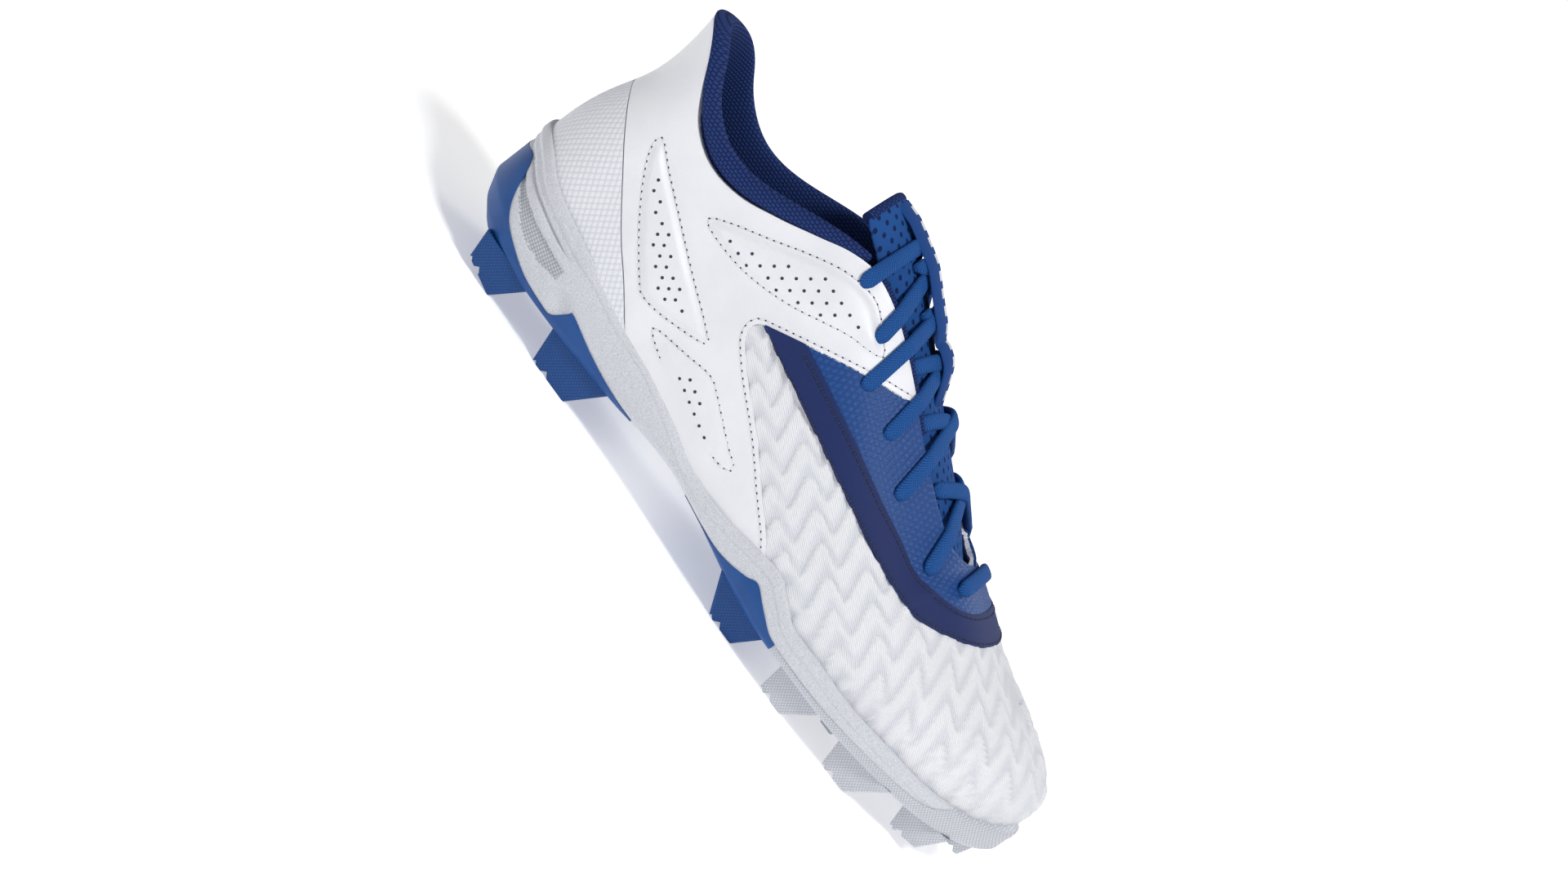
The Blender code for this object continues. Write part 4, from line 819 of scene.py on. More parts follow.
def tongue_finish():
    """Padded mesh with staggered rows of slotted holes."""
    made = finish("blue_slotted_mesh", (0.012, 0.074, 0.275), 0.8, specular_ior_level=0.2)
    u, v = flow_axes(made)
    across = sums(made, "DIVIDE", u, 0.36)
    along = sums(made, "DIVIDE", v, 0.36)
    row = sums(made, "FLOOR", along)
    stagger = sums(made, "MULTIPLY", sums(made, "MODULO", row, 2.0), 0.5)
    u = sums(made, "SUBTRACT", sums(made, "FRACT", sums(made, "ADD", across, stagger)), 0.5)
    v = sums(made, "SUBTRACT", sums(made, "FRACT", along), 0.5)
    u = sums(made, "MULTIPLY", u, 2.1)
    square = sums(made, "ADD", sums(made, "MULTIPLY", u, u), sums(made, "MULTIPLY", v, v))
    far = sums(made, "SQRT", square)
    solid = node(made, "MapRange", {
        "Value": far, "From Min": 0.22, "From Max": 0.34,
    }).outputs["Result"]
    fine = stripes(made, flow_places(made), 12.0, "DIAGONAL")
    tint(made, solid, (0.004, 0.016, 0.085), (0.014, 0.080, 0.292), 0.0, 1.0)
    relief(made, (solid, 0.35 * MM), (fine, 0.05 * MM))
    return made


def lace_finish():
    """Flat braid, its strands slanting both ways."""
    made = finish("blue_flat_braid", (0.011, 0.078, 0.285), 0.72, specular_ior_level=0.2)
    u, v = flow_axes(made)
    slant = sums(made, "MULTIPLY", v, 0.8)
    one, two = (
        sums(made, "SINE", sums(made, "MULTIPLY", sums(made, way, u, slant), 62.0))
        for way in ("ADD", "SUBTRACT")
    )
    both = sums(made, "MAXIMUM", one, two)
    lift = node(made, "MapRange", {
        "Value": both, "From Min": -0.6, "From Max": 1.0,
    }).outputs["Result"]
    tint(made, lift, (0.007, 0.055, 0.22), (0.018, 0.112, 0.385), 0.1, 1.0)
    relief(made, (lift, 0.22 * MM))
    return made


def tape_finish():
    """Woven tape with plain pale dashes down its middle."""
    made = finish("blue_woven_tape", (0.012, 0.062, 0.25), 0.75, specular_ior_level=0.2)
    rows = stripes(made, flow_places(made), 9.0, "Y")
    u, v = flow_axes(made)
    off = sums(made, "ABSOLUTE", sums(made, "SUBTRACT", u, 0.74))
    middle = sums(made, "LESS_THAN", off, 0.24)
    run = sums(made, "FRACT", sums(made, "DIVIDE", v, 0.62))
    dash = sums(made, "MULTIPLY", middle, sums(made, "GREATER_THAN", run, 0.42))
    tint(made, dash, (0.012, 0.062, 0.25), (0.74, 0.76, 0.82))
    relief(made, (rows, 0.08 * MM), (dash, 0.1 * MM))
    return made


def thread_finish(name, colour):
    made = finish(name, colour, 0.7)
    slant = (0.0, math.radians(40), math.radians(40))
    turns = stripes(made, body_places(made, turn=slant), 900.0, "X")
    relief(made, (turns, 0.04 * MM))
    return made


FINISHES = {
    "vamp": vamp_finish(),
    "leather": leather_finish(),
    "weave": weave_finish(),
    "foam": foam_finish(),
    "grille": grille_finish(),
    "blue_rubber": blue_rubber_finish(),
    "blue_stud": blue_stud_finish(),
    "white_rubber": white_rubber_finish(),
    "band": band_finish(),
    "panel": panel_finish(),
    "knit": knit_finish(),
    "tongue": tongue_finish(),
    "lace": lace_finish(),
    "tape": tape_finish(),
    "white_thread": thread_finish("white_thread", (0.80, 0.81, 0.85)),
    "navy_thread": thread_finish("navy_thread", (0.012, 0.018, 0.065)),
    # Dark finish of the punched holes and needle holes: painted shade inside them.
    "dark": finish("painted_hole_shade", (0.055, 0.06, 0.085), 0.9, specular_ior_level=0.1),
}


def dressed(piece, look_name, slot, *stood_for):
    """Gives a piece its finish and its body, and hides the parts it stands for; slot is not used.
    """
    piece.data.materials.clear()
    piece.data.materials.append(FINISHES[look_name])
    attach(piece, "root")
    if stood_for:
        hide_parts(*stood_for)
    return piece


# Outside of the upper as one fine skin
PLACES = station_list(22, 160, 30)
VAMP_START = 0.30
VAMP_PLACES = [x for x in station_list(10, 60, 34) if x < VAMP_START or x > TOE_CENTRE]
VAMP_PLACES += [VAMP_START + (TOE_CENTRE - VAMP_START) * i / 175 for i in range(176)]
VAMP_PLACES.sort()
LOW_ROWS = 5
INSIDE = (0.0, MIDDLE, 60 * MM)       # a point within the upper


def upper_skin(name, stations, high_rows):
    order = [(x, -1) for x in stations] + [(x, 1) for x in reversed(stations)]
    rows = np.array([
        [tuple(p) for p in upper_section(x, side, LOW_ROWS, high_rows)] for x, side in order
    ])
    up = lengths(rows, 1)
    run = lengths(rows[:, [LOW_ROWS]], 0)
    run = np.minimum(run, run[-1] - run)
    flow = np.stack([np.broadcast_to(run, up.shape), up], axis=2) * PER_FLOW
    piece = draped(name, rows, flow)
    seal(piece, WELD)
    outside = corners_of(piece) - np.array(INSIDE)
    if (outside * normals_of(piece)).sum() < 0:
        edit(piece)
        bpy.ops.mesh.flip_normals()
        leave()
    smooth_shade(piece)
    return piece


SKIN = upper_skin("skin", PLACES, 54)
TREE = BVHTree.FromObject(SKIN, bpy.context.evaluated_depsgraph_get())


NEAR_SIDE = 20 * MM


def from_side(spot, side):
    """Where the upper is met from the side: its point and normal."""
    start = Vector((spot.x, side * SLAB, spot.y))
    point, normal = TREE.ray_cast(start, Vector((0.0, -side, 0.0)))[:2]
    if point is None:
        point, normal = TREE.find_nearest(Vector((spot.x, side * NEAR_SIDE, spot.y)))[:2]
    return point, normal


def from_above(x, side, reach):
    start = Vector((BACK + x * LENGTH, spine(x) + side * reach * BALL_WIDTH, SKY))
    return TREE.ray_cast(start, DOWN)[:2]


def on_skin(point):
    return TREE.find_nearest(point)[:2]


def layer(name, low, high):
    """A copy of the skin as a layer of the upper between two offsets."""
    piece = copy_of(SKIN, name + "_layer")
    modify(piece, "DISPLACE", strength=low, mid_level=0.0, direction="NORMAL")
    modify(piece, "SOLIDIFY", thickness=high - low, offset=1.0, use_even_offset=False)
    return piece


# Vamp: the whole upper, with its raised zigzags
ZIGZAG_COLUMN = 14.0 * MM
ZIGZAG_ROW = 11.5 * MM
ZIGZAG_REACH = 10.0 * MM
ZIGZAG_PEAK = 0.32           # share of a column taken by the long stroke
ZIGZAG_HEIGHT = 1.3 * MM
ZIGZAG_EDGE = 0.16           # share of a row taken by a scale's steep edge
ZIGZAG_FALL = 1.3            # how fast a scale falls away behind it
GROOVE = (0.55, 0.12, 0.25)  # place and width in a row, and height, of the line between
VAMP_SPAN = 86 * MM          # from the feather edge up to the ridge, along the surface
TOE_PLACES = (0.68, 0.14)    # where the pattern turns to be measured from the ridge
RIDGE_END = 0.92
RIDGE_PACE = 1.08
FADE_IN = (0.02, 0.03)       # after VAMP_START
FADE_TOE = (0.92, 0.06, 0.4)
CROWN = BACK + (TOE_CENTRE + 0.012) * LENGTH     # the relief fades round this point
CROWN_FADE = (2 * MM, 12 * MM)


def zigzag(s, t):
    """Height of the knitted relief: scales stepped along a slanting zigzag."""
    along = s * math.cos(RIB_TURN) - t * math.sin(RIB_TURN)
    across = s * math.sin(RIB_TURN) + t * math.cos(RIB_TURN)
    fold = across / ZIGZAG_COLUMN
    fold -= math.floor(fold)
    tooth = fold / ZIGZAG_PEAK if fold < ZIGZAG_PEAK else (1 - fold) / (1 - ZIGZAG_PEAK)
    tooth = 0.5 * tooth + 0.5 * ease(tooth)
    wave = (along - ZIGZAG_REACH * tooth) / ZIGZAG_ROW
    wave -= math.floor(wave)
    step = ease(wave / ZIGZAG_EDGE) if wave < ZIGZAG_EDGE else 1.0
    place, width, height = GROOVE
    groove = math.exp(-((wave - place) / width) ** 2) * height
    return ZIGZAG_HEIGHT * (step * (1 - wave) ** ZIGZAG_FALL + groove)


def vamp_place(point, t):
    """Pattern place of a point of the vamp; over the toe it is measured from the ridge."""
    x = (point[0] - BACK) / LENGTH
    last = min(x, RIDGE_END)
    ridge = level(last, smooth(TOP_LINE, 1, last))
    fall = math.hypot(point[1] - spine(x), max(ridge - point[2], 0.0))
    share = ease((x - TOE_PLACES[0]) / TOE_PLACES[1])
    return point[0] - BACK, t * (1 - share) + (VAMP_SPAN - RIDGE_PACE * fall) * share


def vamp():
    piece = upper_skin("vamp_shell", VAMP_PLACES, 66)
    places = corners_of(piece)
    ways = normals_of(piece)
    mesh = piece.data
    flow = np.empty(len(mesh.loops) * 2)
    layer_made = mesh.uv_layers["flow"]
    layer_made.data.foreach_get("uv", flow)
    corner = np.empty(len(mesh.loops), dtype=int)
    mesh.loops.foreach_get("vertex_index", corner)
    height = np.zeros(len(places))
    high = np.zeros(len(places))
    high[corner] = flow[1::2] / PER_FLOW
    spot = np.array([vamp_place(point, t) for point, t in zip(places, high)])
    layer_made.data.foreach_set("uv", (spot[corner] * PER_FLOW).reshape(-1))
    for i, (point, (s, t)) in enumerate(zip(places.copy(), spot)):
        x = (point[0] - BACK) / LENGTH
        share = ease((x - VAMP_START - FADE_IN[0]) / FADE_IN[1])
        near = math.hypot(point[0] - CROWN, point[1] - spine(x))
        share *= ease((near - CROWN_FADE[0]) / CROWN_FADE[1])
        share *= 1 - FADE_TOE[2] * ease((x - FADE_TOE[0]) / FADE_TOE[1])
        if share > 0:
            rise = zigzag(s, t) * share
            places[i] = point + ways[i] * rise
            height[i] = rise / ZIGZAG_HEIGHT
    move_corners(piece, places)
    # The relief's height, which the vamp finish uses to paint shade into the hollows.
    mesh.attributes.new("rise", "FLOAT", "POINT").data.foreach_set("value", height)
    modify(piece, "SOLIDIFY", thickness=WALL, offset=-1.0, use_even_offset=False)
    smooth_shade(piece, 60)
    return dressed(piece, "vamp", "white_mesh", "upper")


vamp()


# Saddle, counter, band and panel over it
def below(line):
    return line + [Vector((line[-1].x, LOW_EDGE)), Vector((line[0].x, LOW_EDGE))]


COUNTER_LINE = rounded(side_line(COUNTER_SEAM), 60)
FRONT_EDGE = rounded(side_line(SADDLE_FRONT), 60)
STRIP_EDGE = rounded(side_line(SADDLE_STRIP), 40)


def saddle_ring(gap):
    front = shifted(FRONT_EDGE, -gap)
    strip = shifted(STRIP_EDGE, -gap)
    rear = shifted(COUNTER_LINE, gap)
    corner = (front[-1] + strip[0]) / 2
    ring = [Vector((front[0].x, LOW_EDGE))] + front[:-1] + [corner] + strip[1:]
    ring += [Vector((strip[-1].x, CEILING)), Vector((rear[0].x, CEILING))]
    return ring + rear + [Vector((rear[-1].x, LOW_EDGE))]


def seam_points(side_table, front_table, side):
    """Points on the upper along a seam that runs round the throat."""
    line = [from_side(spot, side)[0] for spot in side_line(side_table)]
    line += [from_above(x, side, reach)[0] for x, reach in front_table]
    return line


SEAM_PASSES = 260            # evens the seam where its side and front parts meet
SEAM_STEPS = 70
SEAM_DENSE = 400
SEAM_PAST = 0.2 * MM         # how far a seam may run past the middle


def throat_seam(side_table, front_table, side):
    line = seam_points(side_table, front_table, side)
    mirror = line[-2].copy()
    mirror.y = 2 * line[-1].y - mirror.y
    curve = rounded(line + [mirror], SEAM_DENSE)
    middle = line[-1].y
    kept = [p for p in curve if (p.y - middle) * side >= -SEAM_PAST]
    for _ in range(SEAM_PASSES):
        inner = [(a + 2 * b + c) / 4 for a, b, c in zip(kept, kept[1:], kept[2:])]
        kept = [kept[0]] + inner + [kept[-1]]
    return [on_skin(p)[0] for p in rounded(kept, SEAM_STEPS)]


RIBBON = (26, 13)            # height over and depth under the upper of a ribbon, in mm


def ribbon(name, outer, inner, side):
    """Cutter between two lines on the upper, along the slant of its side."""
    slant = Vector((0.0, side, 1.0)).normalized()
    rings = []
    for a, b in zip(outer, inner):
        rings.append([
            a + slant * RIBBON[0] * MM, b + slant * RIBBON[0] * MM,
            b - slant * RIBBON[1] * MM, a - slant * RIBBON[1] * MM,
        ])
    return bar(name, rings)


def stretched(line, start, end):
    """The line with both ends run on."""
    first = line[0] + (line[0] - line[1]).normalized() * start
    last = line[-1] + (line[-1] - line[-2]).normalized() * end
    return [first] + line + [last]


THROAT_MIDDLE = (0.37, 0.742)


def toward(line, other, distance):
    return [a + (b - a).normalized() * distance for a, b in zip(line, other)]


def middle_line(side, count):
    start, end = THROAT_MIDDLE
    line = []
    for i in range(count):
        x = start + (end - start) * i / (count - 1)
        z = level(x, smooth(TOP_LINE, 1, x))
        line.append(Vector((BACK + x * LENGTH, spine(x) - side * SEAM_ENDS[1], z)))
    return line


def front_piece(name, low, high, lines):
    piece = layer(name, low, high)
    cutters = []
    for side in (-1, 1):
        outer, inner = lines(side)
        cutters.append(ribbon("ribbon" + str(side), outer, inner, side))
    cut(cutters[0], cutters[1], "UNION")
    cut(piece, cutters[0], "INTERSECT")
    cut(piece, slab("saddle_room", saddle_ring(-SEAM / 2)))
    merge(piece, CUT_WELD)
    soften(piece, LAYER_EDGE)
    return piece


OUTER_SEAM = {side: throat_seam(BAND_OUTER_SIDE, BAND_OUTER_FRONT, side) for side in (-1, 1)}
INNER_SEAM = {side: throat_seam(BAND_INNER_SIDE, BAND_INNER_FRONT, side) for side in (-1, 1)}


BAND_LAP = 0.6 * MM          # of the band over the panel's edge
PANEL_GAP = 0.1 * MM


def band_lines(side):
    outer = stretched(OUTER_SEAM[side], *SEAM_ENDS)
    inner = stretched(INNER_SEAM[side], *SEAM_ENDS)
    return outer, toward(inner, outer, -BAND_LAP)


def panel_lines(side):
    outer = stretched(INNER_SEAM[side], *SEAM_ENDS)
    inner = middle_line(side, len(outer))
    return toward(outer, inner, PANEL_GAP), inner


BAND = front_piece(
    "throat_band", CLEARANCE, CLEARANCE + OVERLAY + BAND_PROUD, band_lines)
dressed(BAND, "band", "navy_band", "throat_band")
PANEL = front_piece("throat_panel", CLEARANCE, CLEARANCE + OVERLAY, panel_lines)
dressed(PANEL, "panel", "blue_panel", "throat_panel")

COUNTER = layer("heel_counter", CLEARANCE, CLEARANCE + OVERLAY)
cut(COUNTER, slab("counter_room", below(shifted(COUNTER_LINE, -SEAM / 2))), "INTERSECT")
merge(COUNTER, CUT_WELD)
soften(COUNTER, LAYER_EDGE)
dressed(COUNTER, "weave", "white_weave", "heel_counter")


def depth_inside(spot, ring):
    """Distance from a spot to the outline round it, or 0 outside."""
    a = np.array([tuple(p) for p in ring])
    b = np.roll(a, -1, axis=0)
    crosses = (a[:, 1] > spot[1]) != (b[:, 1] > spot[1])
    if not crosses.any():
        return 0.0
    step = b - a
    at = a[:, 0] + (spot[1] - a[:, 1]) / np.where(step[:, 1] == 0, 1e-12, step[:, 1]) * step[:, 0]
    if not (crosses & (at > spot[0])).sum() % 2:
        return 0.0
    share = ((spot - a) * step).sum(axis=1) / (step ** 2).sum(axis=1)
    near = a + step * np.clip(share, 0, 1)[:, None]
    return float(np.sqrt(((near - spot) ** 2).sum(axis=1).min()))


PADS = {
    "ankle": rounded(side_line(ANKLE_PAD), 90, True),
    "eyestay": rounded(side_line(EYESTAY_PAD), 110, True),
    "side": rounded(side_line(SIDE_PAD), 80, True),
}


PAD_PUFF = ((0.72, 3.2 * MM), (0.28, 8 * MM))    # shares of the rise, and their reaches in


def pad_lift(x, z):
    lift = 0.0
    for ring in PADS.values():
        xs = [p.x for p in ring]
        zs = [p.y for p in ring]
        if min(xs) < x < max(xs) and min(zs) < z < max(zs):
            depth = depth_inside(np.array((x, z)), ring)
            puff = sum(share * ease(depth / reach) for share, reach in PAD_PUFF)
            lift = max(lift, puff)
    return lift * PAD_RISE


def holes_of(start, row_step, hole_step, rows):
    spots = []
    for i, (first, count) in enumerate(rows):
        for j in range(count):
            spots.append(start + row_step * i + hole_step * (first + j))
    return spots


# Each field of holes: x and height in mm of its start, steps to the next row and hole in mm
HOLE_FIELDS = (
    (0.143, 75.6, (3.25, -1.87), (2.4, 2.9), ANKLE_HOLES),
    (0.249, 83.4, (5.0, -0.2), (3.0, 3.9), EYESTAY_HOLES),
    (0.341, 41.5, (4.3, -1.0), (2.6, 2.9), SIDE_HOLES),
)
HOLES = []
for x, z, row_step, hole_step, rows in HOLE_FIELDS:
    start = Vector((BACK + x * LENGTH, z * MM))
    HOLES += holes_of(start, Vector(row_step) * MM, Vector(hole_step) * MM, rows)


QUARTER_EDGE = 0.35 * MM


def quarter():
    """The saddle: the raised pads lift its outer face alone."""
    piece = layer("quarter", CLEARANCE, CLEARANCE + OVERLAY)
    cut(piece, slab("saddle_room", saddle_ring(SEAM / 2)), "INTERSECT")
    merge(piece, CUT_WELD)
    places = corners_of(piece)
    top = CLEARANCE + OVERLAY / 2
    for i, point in enumerate(places):
        near, way = TREE.find_nearest(Vector(point))[:2]
        if (Vector(point) - near).length > top:
            lift = pad_lift(point[0], point[2])
            if lift:
                places[i] = point + np.array(way) * lift
    move_corners(piece, places)
    soften(piece, QUARTER_EDGE)
    return dressed(piece, "leather", "white_leather", "quarter")


QUARTER = quarter()


# Midsole and rubber
SOLE_PLACES = station_list(26, 150, 24)


# Corners of the sole's section: shares of its rise or of the plate's corner
PLATE_FLAT = 0.96
WALL_FOOT = (0.4, 0.6, 0.12)
WALL_TURN = 0.32
TOP_EDGE = ((0.1, 0.5 * MM), (0.4, 0.0))         # share of the rim in, and drop


def sole_section(x, side, deep, inset):
    """Outline of the sole at x, from the middle of its plate to its top edge."""
    foot = root(x)
    out = rim_point(x, side) - foot
    way = out.normalized()
    reach = out.length - inset
    plate = level(x, smooth(SOLE_LINES, 1, x)) + deep
    top = level(x, smooth(SOLE_LINES, 2, x))
    tall = top - plate
    corner = smooth(SOLE_LINES, 3, x) * reach
    step = BAND_STEP * smooth(SOLE_LINES, 4, x)
    flat = []
    for r in (0.0, PLATE_FLAT * corner):
        spot = ((foot + way * r).x - BACK) / LENGTH
        flat.append((r, level(spot, smooth(SOLE_LINES, 1, spot)) + deep))
    profile = (
        *flat,
        (WALL_FOOT[0] * corner + WALL_FOOT[1] * reach - step, plate + WALL_FOOT[2] * tall),
        (reach - step, plate + WALL_TURN * tall),
        (reach - step, top - BAND_HEIGHT - step),
        (reach, top - BAND_HEIGHT),
        *((reach - share * RIM, top - drop) for share, drop in TOP_EDGE),
    )
    return foot, way, profile


ARC_RADIUS = 0.9 * MM
ARC_STEPS = 3
ARC_LIMIT = 0.45             # share of a side that an arc may take


def rounded_profile(profile, fill):
    """The profile with its corners turned into short arcs, always of the same count."""
    points = [Vector(profile[0])]
    for before, here, after in zip(profile, profile[1:], profile[2:]):
        a, b, c = Vector(before), Vector(here), Vector(after)
        start = b + (a - b).normalized() * min(ARC_RADIUS, (a - b).length * ARC_LIMIT)
        end = b + (c - b).normalized() * min(ARC_RADIUS, (c - b).length * ARC_LIMIT)
        if fill and here in profile[3:5]:
            count = fill if here == profile[4] else fill // 4
            points += [points[-1].lerp(start, i / count) for i in range(1, count)]
        for i in range(ARC_STEPS + 1):
            s = i / ARC_STEPS
            points.append(start * (1 - s) ** 2 + b * 2 * s * (1 - s) + end * s * s)
    points.append(Vector(profile[-1]))
    return points


# Moulding of the midsole's side: x, then heights of its lines as shares of the rise
RIB_LINES = (
    # x, foot of the top rib, foot of the second rib, foot of the woven recess
    (0.000, 0.275, 0.240, 0.225), (0.030, 0.268, 0.228, 0.215), (0.060, 0.240, 0.198, 0.160),
    (0.090, 0.222, 0.180, 0.120), (0.120, 0.206, 0.168, 0.100), (0.150, 0.196, 0.162, 0.110),
    (0.175, 0.190, 0.160, 0.130),
)
RIB_END = 0.172
SCOOP_LINE = ((0.165, 0.200), (0.230, 0.150), (0.300, 0.125), (0.380, 0.115), (0.480, 0.085))
RIB_RISE = 0.7 * MM
RIB_GROOVE = 0.9 * MM
RECESS_DEEP = 0.9 * MM
SCOOP_DEEP = 1.7 * MM
NOTCH = (0.186, 0.085, 0.014, 0.030)  # x, height and half sizes of the curled notch
NOTCH_DEEP = 2.0 * MM
RIB_FADE = 0.05              # length over which the ribs die out
LOW_RIB = 0.3                # rise of the second rib over that of the first
RECESS_START = (0.006, 0.02)
RECESS_FADE = 0.03
SCOOP_SPAN = ((0.165, 0.03), (0.485, 0.06))      # start and end, each with its run-out
RECESS_EDGE = 0.012          # x kept clear at both ends of the woven recess
RIB_SOFT = 0.007             # share of the rise over which a rib's edge turns


def share_at(x, height):
    """A height over the ground as a share of the rise at x."""
    return (height - STUD_HEIGHT) / (level(x, 1.0) - level(x, 0.0))


def in_recess(x, share):
    upper_edge = smooth(RIB_LINES, 2, x) - 0.008
    lower_edge = smooth(RIB_LINES, 3, x)
    along = RECESS_EDGE < x < RIB_END - RECESS_EDGE
    return along and lower_edge < share < upper_edge


def between(share, low, high):
    return ease((share - low) / RIB_SOFT) * ease((high - share) / RIB_SOFT)


def moulding(x, share, top):
    """How far the midsole's side stands out at a place, in metres."""
    out = 0.0
    fade = ease((RIB_END - x) / RIB_FADE)
    if fade > 0:
        rib = smooth(RIB_LINES, 1, x)
        second = smooth(RIB_LINES, 2, x)
        low = smooth(RIB_LINES, 3, x)
        body = between(share, rib, top + 0.02)
        groove = between(share, rib - 2 * RIB_SOFT, rib)
        ridge = between(share, second, rib - 0.010)
        hollow = between(share, low, second)
        hollow *= ease((x - RECESS_START[0]) / RECESS_START[1])
        out += fade * (RIB_RISE * (body + LOW_RIB * ridge) - RIB_GROOVE * groove)
        out -= ease((RIB_END - x) / RECESS_FADE) * RECESS_DEEP * hollow
    crease = smooth(SCOOP_LINE, 1, x)
    (start, rise), (end, fall) = SCOOP_SPAN
    reach = ease((x - start) / rise) * ease((end - x) / fall)
    if reach > 0 and share > crease:
        out -= reach * SCOOP_DEEP * ease((share - crease) / max(top - crease, 0.02))
    dx = (x - NOTCH[0]) / NOTCH[2]
    dz = (share - NOTCH[1]) / NOTCH[3]
    out -= NOTCH_DEEP * math.exp(-(dx * dx + dz * dz))
    return out


WALL_FILL = 36               # rows of the midsole's side, for its ribs
FOOTBED_DROP = 0.4 * MM      # of the inside under the upper's feather edge
RIM_INSIDE = (2.6 * MM, 3.0 * MM)     # the rim's width at its top and foot


def sole_body(name, deep=0.0, inset=0.0, hollow=False):
    """The sole's closed body; hollow, it is the cup with its mouldings."""
    rows = []
    order = [(x, -1) for x in SOLE_PLACES] + [(x, 1) for x in reversed(SOLE_PLACES)]
    for x, side in order:
        foot, way, profile = sole_section(x, side, deep, inset)
        line = rounded_profile(profile, WALL_FILL if hollow else 0)
        if hollow:
            reach = profile[-1][0]
            top = smooth(SOLE_LINES, 2, x)
            for point in line[4:]:
                spot = ((foot + way * point.x).x - BACK) / LENGTH
                point.x += moulding(spot, share_at(x, point.y), top)
            inside = level(x, smooth(SECTIONS, 1, x)) - FOOTBED_DROP
            line.append(Vector((reach - RIM_INSIDE[0], profile[-1][1] - 0.1 * MM)))
            line.append(Vector((reach - RIM_INSIDE[1], inside)))
            line.append(Vector((0.0, inside)))
        else:
            line.append(Vector((0.0, profile[-1][1])))
        rows.append([tuple(foot + way * p.x + Vector((0.0, 0.0, p.y))) for p in line])
    rows = np.array(rows)
    up = lengths(rows, 1)
    run = lengths(rows[:, [len(rows[0]) // 2]], 0)
    run = np.minimum(run, run[-1] - run)
    flow = np.stack([np.broadcast_to(run, up.shape), up], axis=2) * PER_FLOW
    piece = draped(name, rows, flow)
    seal(piece, WELD)
    return piece


MIDSOLE = sole_body("midsole_body", hollow=True)
smooth_shade(MIDSOLE, 50)
dressed(MIDSOLE, "foam", "white_foam", "midsole")
MIDSOLE.data.materials.append(FINISHES["grille"])
for face in MIDSOLE.data.polygons:
    x = (face.center.x - BACK) / LENGTH
    if abs(face.normal.z) < 0.8 and in_recess(x, share_at(x, face.center.z)):
        face.material_index = 1


STUD_BURY = 2.0 * MM
STUD_BEVEL = 1.1 * MM
STUD_NICK = 0.36             # place of the nicks along the tip
NICKS = ((0.0, 2.6 * MM), (-0.30, 1.5 * MM))     # shift from there, and size
NICK_LONG = 30 * MM
STUD_EDGE = 0.45 * MM


def studs(name, start, end, look_name, slot):
    """The studs of one stretch: blocks drawn in, stepped at the tip and softened."""
    made = []
    for rear, tip_rear, tip_front, front, out, high_rear, high_front, wide in STUDS:
        x = (rear + front) / 2
        if not start < x < end:
            continue
        side = -1 if out < 0 else 1
        middle = spine(x) + out * half_width(x, side)
        plate = level(x, smooth(SOLE_LINES, 1, x))
        bpy.ops.mesh.primitive_cube_add(size=1.0)
        piece = bpy.context.object
        low_rear = high_rear * STUD_HEIGHT
        low_front = high_front * STUD_HEIGHT
        for corner in piece.data.vertices:
            px, py, pz = corner.co
            top = pz > 0
            width = (STUD_ROOT_WIDTH if top else STUD_TIP_WIDTH) * wide
            if top:
                along = rear if px < 0 else front
                height = plate + STUD_BURY
            else:
                along, height = (tip_rear, low_rear) if px < 0 else (tip_front, low_front)
            aside = (1 if py > 0 else -1) * width / 2
            corner.co = (BACK + along * LENGTH, middle + aside, height)
        edit(piece)
        bpy.ops.mesh.select_all(action="DESELECT")
        bpy.ops.mesh.select_mode(type="EDGE")
        leave()
        for line in piece.data.edges:
            a, b = (piece.data.vertices[i].co for i in line.vertices)
            line.select = abs(a.z - b.z) > 4 * MM
        bpy.ops.object.mode_set(mode="EDIT")
        bpy.ops.mesh.bevel(offset=STUD_BEVEL * wide, segments=2, affect="EDGES")
        bpy.ops.mesh.select_mode(type="VERT")
        leave()
        tip = BACK + (tip_rear + STUD_NICK * (tip_front - tip_rear)) * LENGTH
        low = low_rear + STUD_NICK * (low_front - low_rear)
        for shift, size in NICKS:
            bpy.ops.mesh.primitive_cube_add(size=1.0)
            wedge = bpy.context.object
            wedge.data.transform(Matrix.Diagonal((size, NICK_LONG, size, 1.0)))
            wedge.data.transform(Matrix.Rotation(math.radians(45), 4, "Y"))
            drop = low + shift * (low_front - low_rear)
            ahead = shift * (tip_front - tip_rear) * LENGTH
            wedge.data.transform(Matrix.Translation((tip + ahead, middle, drop)))
            cut(piece, wedge)
        made.append(piece)
    only(*made)
    bpy.ops.object.join()
    piece = bpy.context.object
    piece.name = name
    soften(piece, STUD_EDGE, 25)
    return dressed(piece, look_name, slot)


RUBBER_UNDER = 0.1 * MM      # rubber under the midsole's plate
RUBBER_WELD = 0.08 * MM
RUBBER_EDGE = 0.4 * MM
for part, line, look_name, stud_look, slot in (
    ("heel", HEEL_RUBBER, "blue_rubber", "blue_stud", "blue_rubber"),
    ("midfoot", MIDFOOT_RUBBER, "blue_rubber", "blue_stud", "blue_rubber"),
    ("forefoot", FOREFOOT_RUBBER, "white_rubber", "white_rubber", "white_rubber"),
):
    rubber = sole_body("rubber_" + part, -RUBBER_UNDER, -RUBBER_PROUD)
    edge = rounded(side_line(line), 160)
    cut(rubber, slab("rubber_room", below(edge)), "INTERSECT")
    merge(rubber, RUBBER_WELD)
    soften(rubber, RUBBER_EDGE)
    dressed(rubber, look_name, slot, "outsole_" + part)
    studs("studs_" + part, line[0][0], line[-1][0], stud_look, slot)


